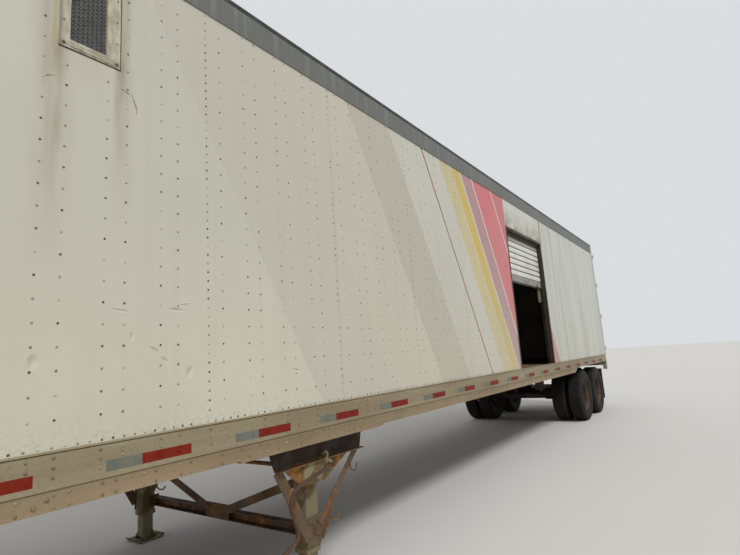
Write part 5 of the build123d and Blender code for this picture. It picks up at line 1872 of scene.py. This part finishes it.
@dataclass
class Wheels:
    """Tyres with grooved tread, rusted disc wheels with their nuts, and hubs."""

    radius: float = 0.510
    width: float = 0.280
    grooves: tuple[float, ...] = (-0.062, -0.021, 0.021, 0.062)
    groove_half: float = 0.0045
    groove_depth: float = 0.011
    tread_half: float = 0.104
    # width of a groove's floor, as a share of its mouth
    floor_share: float = 0.6
    shoulder_drop: float = 0.001
    shoulder: Flat = (0.004, 0.022)
    steps: int = 120
    notch_every: int = 3
    notch_depth: float = 0.005
    offsets: Flat = (0.820, 1.150)
    stud_circle: float = 0.1429
    studs: int = 10
    nut: Flat = (0.0175, 0.026)
    nut_y: float = 0.996

    def tread(self) -> list[Flat]:
        """Tread from one shoulder to the other, down into each groove and out again."""
        floor, narrow = self.radius - self.groove_depth, self.groove_half * self.floor_share
        edge = [(self.radius - self.shoulder_drop, self.tread_half)]
        edge += [(self.radius, self.tread_half - inwards) for inwards in self.shoulder]
        points = [(radius, -across) for radius, across in edge]
        for groove in self.grooves:
            points += [(self.radius, groove - self.groove_half), (floor, groove - narrow),
                       (floor, groove + narrow), (self.radius, groove + self.groove_half)]
        return points + edge[::-1]

    def sidewall(self) -> list[Flat]:
        """One sidewall from the bead to the shoulder, with its rim guard and rings."""
        half = self.width / 2
        bead = [(0.291, 0.100), (0.296, 0.1045), (0.306, 0.1145)]
        rim_guard = [(0.314, 0.121), (0.318, 0.1255), (0.324, 0.1265), (0.330, 0.125)]
        belly = [(0.345, 0.1305), (0.370, 0.1370), (0.395, half - 0.0006), (0.398, half), (0.403, half),
                 (0.406, half - 0.0012), (0.430, half - 0.0016), (0.450, 0.1370)]
        ring = [(0.452, 0.1382), (0.456, 0.1378), (0.458, 0.1355)]
        return bead + rim_guard + belly + ring + [(0.475, 0.1300), (0.490, 0.1220), (0.501, 0.1120)]

    def build_tyres(self, wheel: str, x: float, side: int) -> None:
        """Adds the pair of tyres of one wheel."""
        wall, tread = self.sidewall(), self.tread()
        profile = [(radius, -along) for radius, along in wall] + tread + wall[::-1]
        first, last = len(wall) - 1, len(wall) + len(tread)
        shoulders = {first, first + 1, first + 2, last, last - 1, last - 2}

        def sink(step: int, number: int) -> float:
            """Notches cut across the shoulders of the tread."""
            return self.notch_depth if number in shoulders and step % self.notch_every == 0 else 0.0

        shape = Shape()
        for offset in self.offsets:
            shape.spun(profile, (x, side * offset, self.radius), "y", self.steps, sink)
        shape.finished(f"{wheel}_tyres_grooved", TYRE, f"{wheel}_wheels", (f"{wheel}_tyres",), 40.0)

    def nuts(self, x: float, side: int) -> list[Spot]:
        """Wheel nuts on the outer disc."""
        turns = [2 * math.pi * (number + 0.5) / self.studs for number in range(self.studs)]
        return facing((0, side, 0), [
            (x + self.stud_circle * math.sin(turn), side * self.nut_y,
             self.radius + self.stud_circle * math.cos(turn)) for turn in turns])

    def build(self, fasteners: Fasteners) -> None:
        """Adds the four pairs of wheels."""
        for side, label in SIDES:
            for wheel in (f"{label}_front", f"{label}_rear"):
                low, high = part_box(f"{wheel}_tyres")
                x = (low.x + high.x) / 2
                self.build_tyres(wheel, x, side)
                dressed(f"{wheel}_discs", WHEEL, 0.0, 30.0)
                dressed(f"{wheel}_hub", CASTING, 0.0, 30.0)
                fasteners.spread(f"{wheel}_nuts", self.nuts(x, side), Fastener.HEX, self.nut, WHEEL,
                                 f"{wheel}_wheels")


@dataclass
class Fittings:
    """Couplings and socket on the front wall."""

    edge: float = 0.001

    def build(self) -> None:
        """Finishes the couplings."""
        for node in ("air_couplings", "electric_socket"):
            dressed(node, COUPLING, self.edge)


@dataclass
class Studio:
    """Pale floor, soft light, and a camera where the photo was taken, beside the front of the left wall."""

    eye: Point = (-6.417, -3.725, 1.573)
    lens: float = 23.728
    sensor: float = 36.0
    yaw: float = 55.053
    pitch: float = 9.308
    roll: float = -3.850
    far_limit: float = 500.0
    floor_reach: float = 120.0
    floor_thick: float = 0.02
    sky: float = 0.60
    sun: float = 2.0
    sun_size: float = 15.0
    sun_from: Point = (-0.45, -0.70, 0.95)
    backdrop: str = "#DADDE0"
    ground: str = "#C9C8C4"

    def build_camera(self) -> None:
        """Camera by the direction that it looks in and its roll."""
        yaw, pitch, roll = (math.radians(angle) for angle in (self.yaw, self.pitch, self.roll))
        ahead = Vector((math.sin(yaw) * math.cos(pitch), math.cos(yaw) * math.cos(pitch), math.sin(pitch)))
        level = ahead.cross(Vector((0, 0, 1))).normalized()
        above = level.cross(ahead)
        right = level * math.cos(roll) + above * math.sin(roll)
        up = above * math.cos(roll) - level * math.sin(roll)
        data = bpy.data.cameras.new("camera")
        data.lens = self.lens
        data.sensor_width = self.sensor
        data.clip_end = self.far_limit
        camera = staged("camera", data)
        camera.matrix_world = Matrix((
            (right.x, up.x, -ahead.x, self.eye[0]), (right.y, up.y, -ahead.y, self.eye[1]),
            (right.z, up.z, -ahead.z, self.eye[2]), (0, 0, 0, 1)))
        bpy.context.scene.camera = camera

    def build_light(self) -> None:
        """Even sky, seen by the camera and in gloss as the backdrop, and one broad soft sun."""
        world = bpy.data.worlds.new("studio")
        world.use_nodes = True
        world.node_tree.nodes.clear()
        nodes = Nodes(world.node_tree)
        light = nodes.add("ShaderNodeBackground", {"Color": (1.0, 1.0, 1.0, 1.0), "Strength": self.sky})
        seen = nodes.add("ShaderNodeBackground", {"Color": linear(self.backdrop), "Strength": 1.0})
        path = nodes.add("ShaderNodeLightPath").outputs
        camera_or_gloss = nodes.maths("MAXIMUM", path["Is Camera Ray"], path["Is Glossy Ray"])
        shown = nodes.maths("MAXIMUM", camera_or_gloss, path["Is Transmission Ray"])
        mixed = nodes.add("ShaderNodeMixShader", {0: shown, 1: light, 2: seen})
        nodes.add("ShaderNodeOutputWorld", {"Surface": mixed})
        bpy.context.scene.world = world
        data = bpy.data.lights.new("sun", "SUN")
        data.energy = self.sun
        data.angle = math.radians(self.sun_size)
        staged("sun", data).rotation_euler = Vector(self.sun_from).to_track_quat("Z", "Y").to_euler()

    def build_floor(self) -> None:
        """Plain pale floor under the tyres and shoes."""
        reach = self.floor_reach
        name = "floor_plane"
        mesh = Shape().slab((-reach, -reach, -self.floor_thick), (reach, reach, 0.0)).mesh(name)
        floor = staged(name, mesh)
        material = bpy.data.materials.new("pale floor")
        material.use_nodes = True
        Nodes(material.node_tree).feed(
            material.node_tree.nodes["Principled BSDF"],
            {"Base Color": linear(self.ground), "Roughness": 0.9})
        mesh.materials.append(material)

    def build(self) -> None:
        """Sets the stage."""
        bpy.context.scene.view_settings.view_transform = "Standard"
        self.build_camera()
        self.build_light()
        self.build_floor()


def main() -> None:
    """Builds the studio and every sub-assembly in order."""
    logging.basicConfig(level=logging.INFO, format="%(message)s")
    Studio().build()
    fasteners = Fasteners()
    Skin().build(fasteners)
    Rails().build(fasteners)
    Vent().build(fasteners)
    SideDoor().build(fasteners)
    RearEnd().build(fasteners)
    LandingGear().build(fasteners)
    RunningGear().build()
    Wheels().build(fasteners)
    Fittings().build()
    fasteners.clear()


if __name__ == "__main__":
    main()
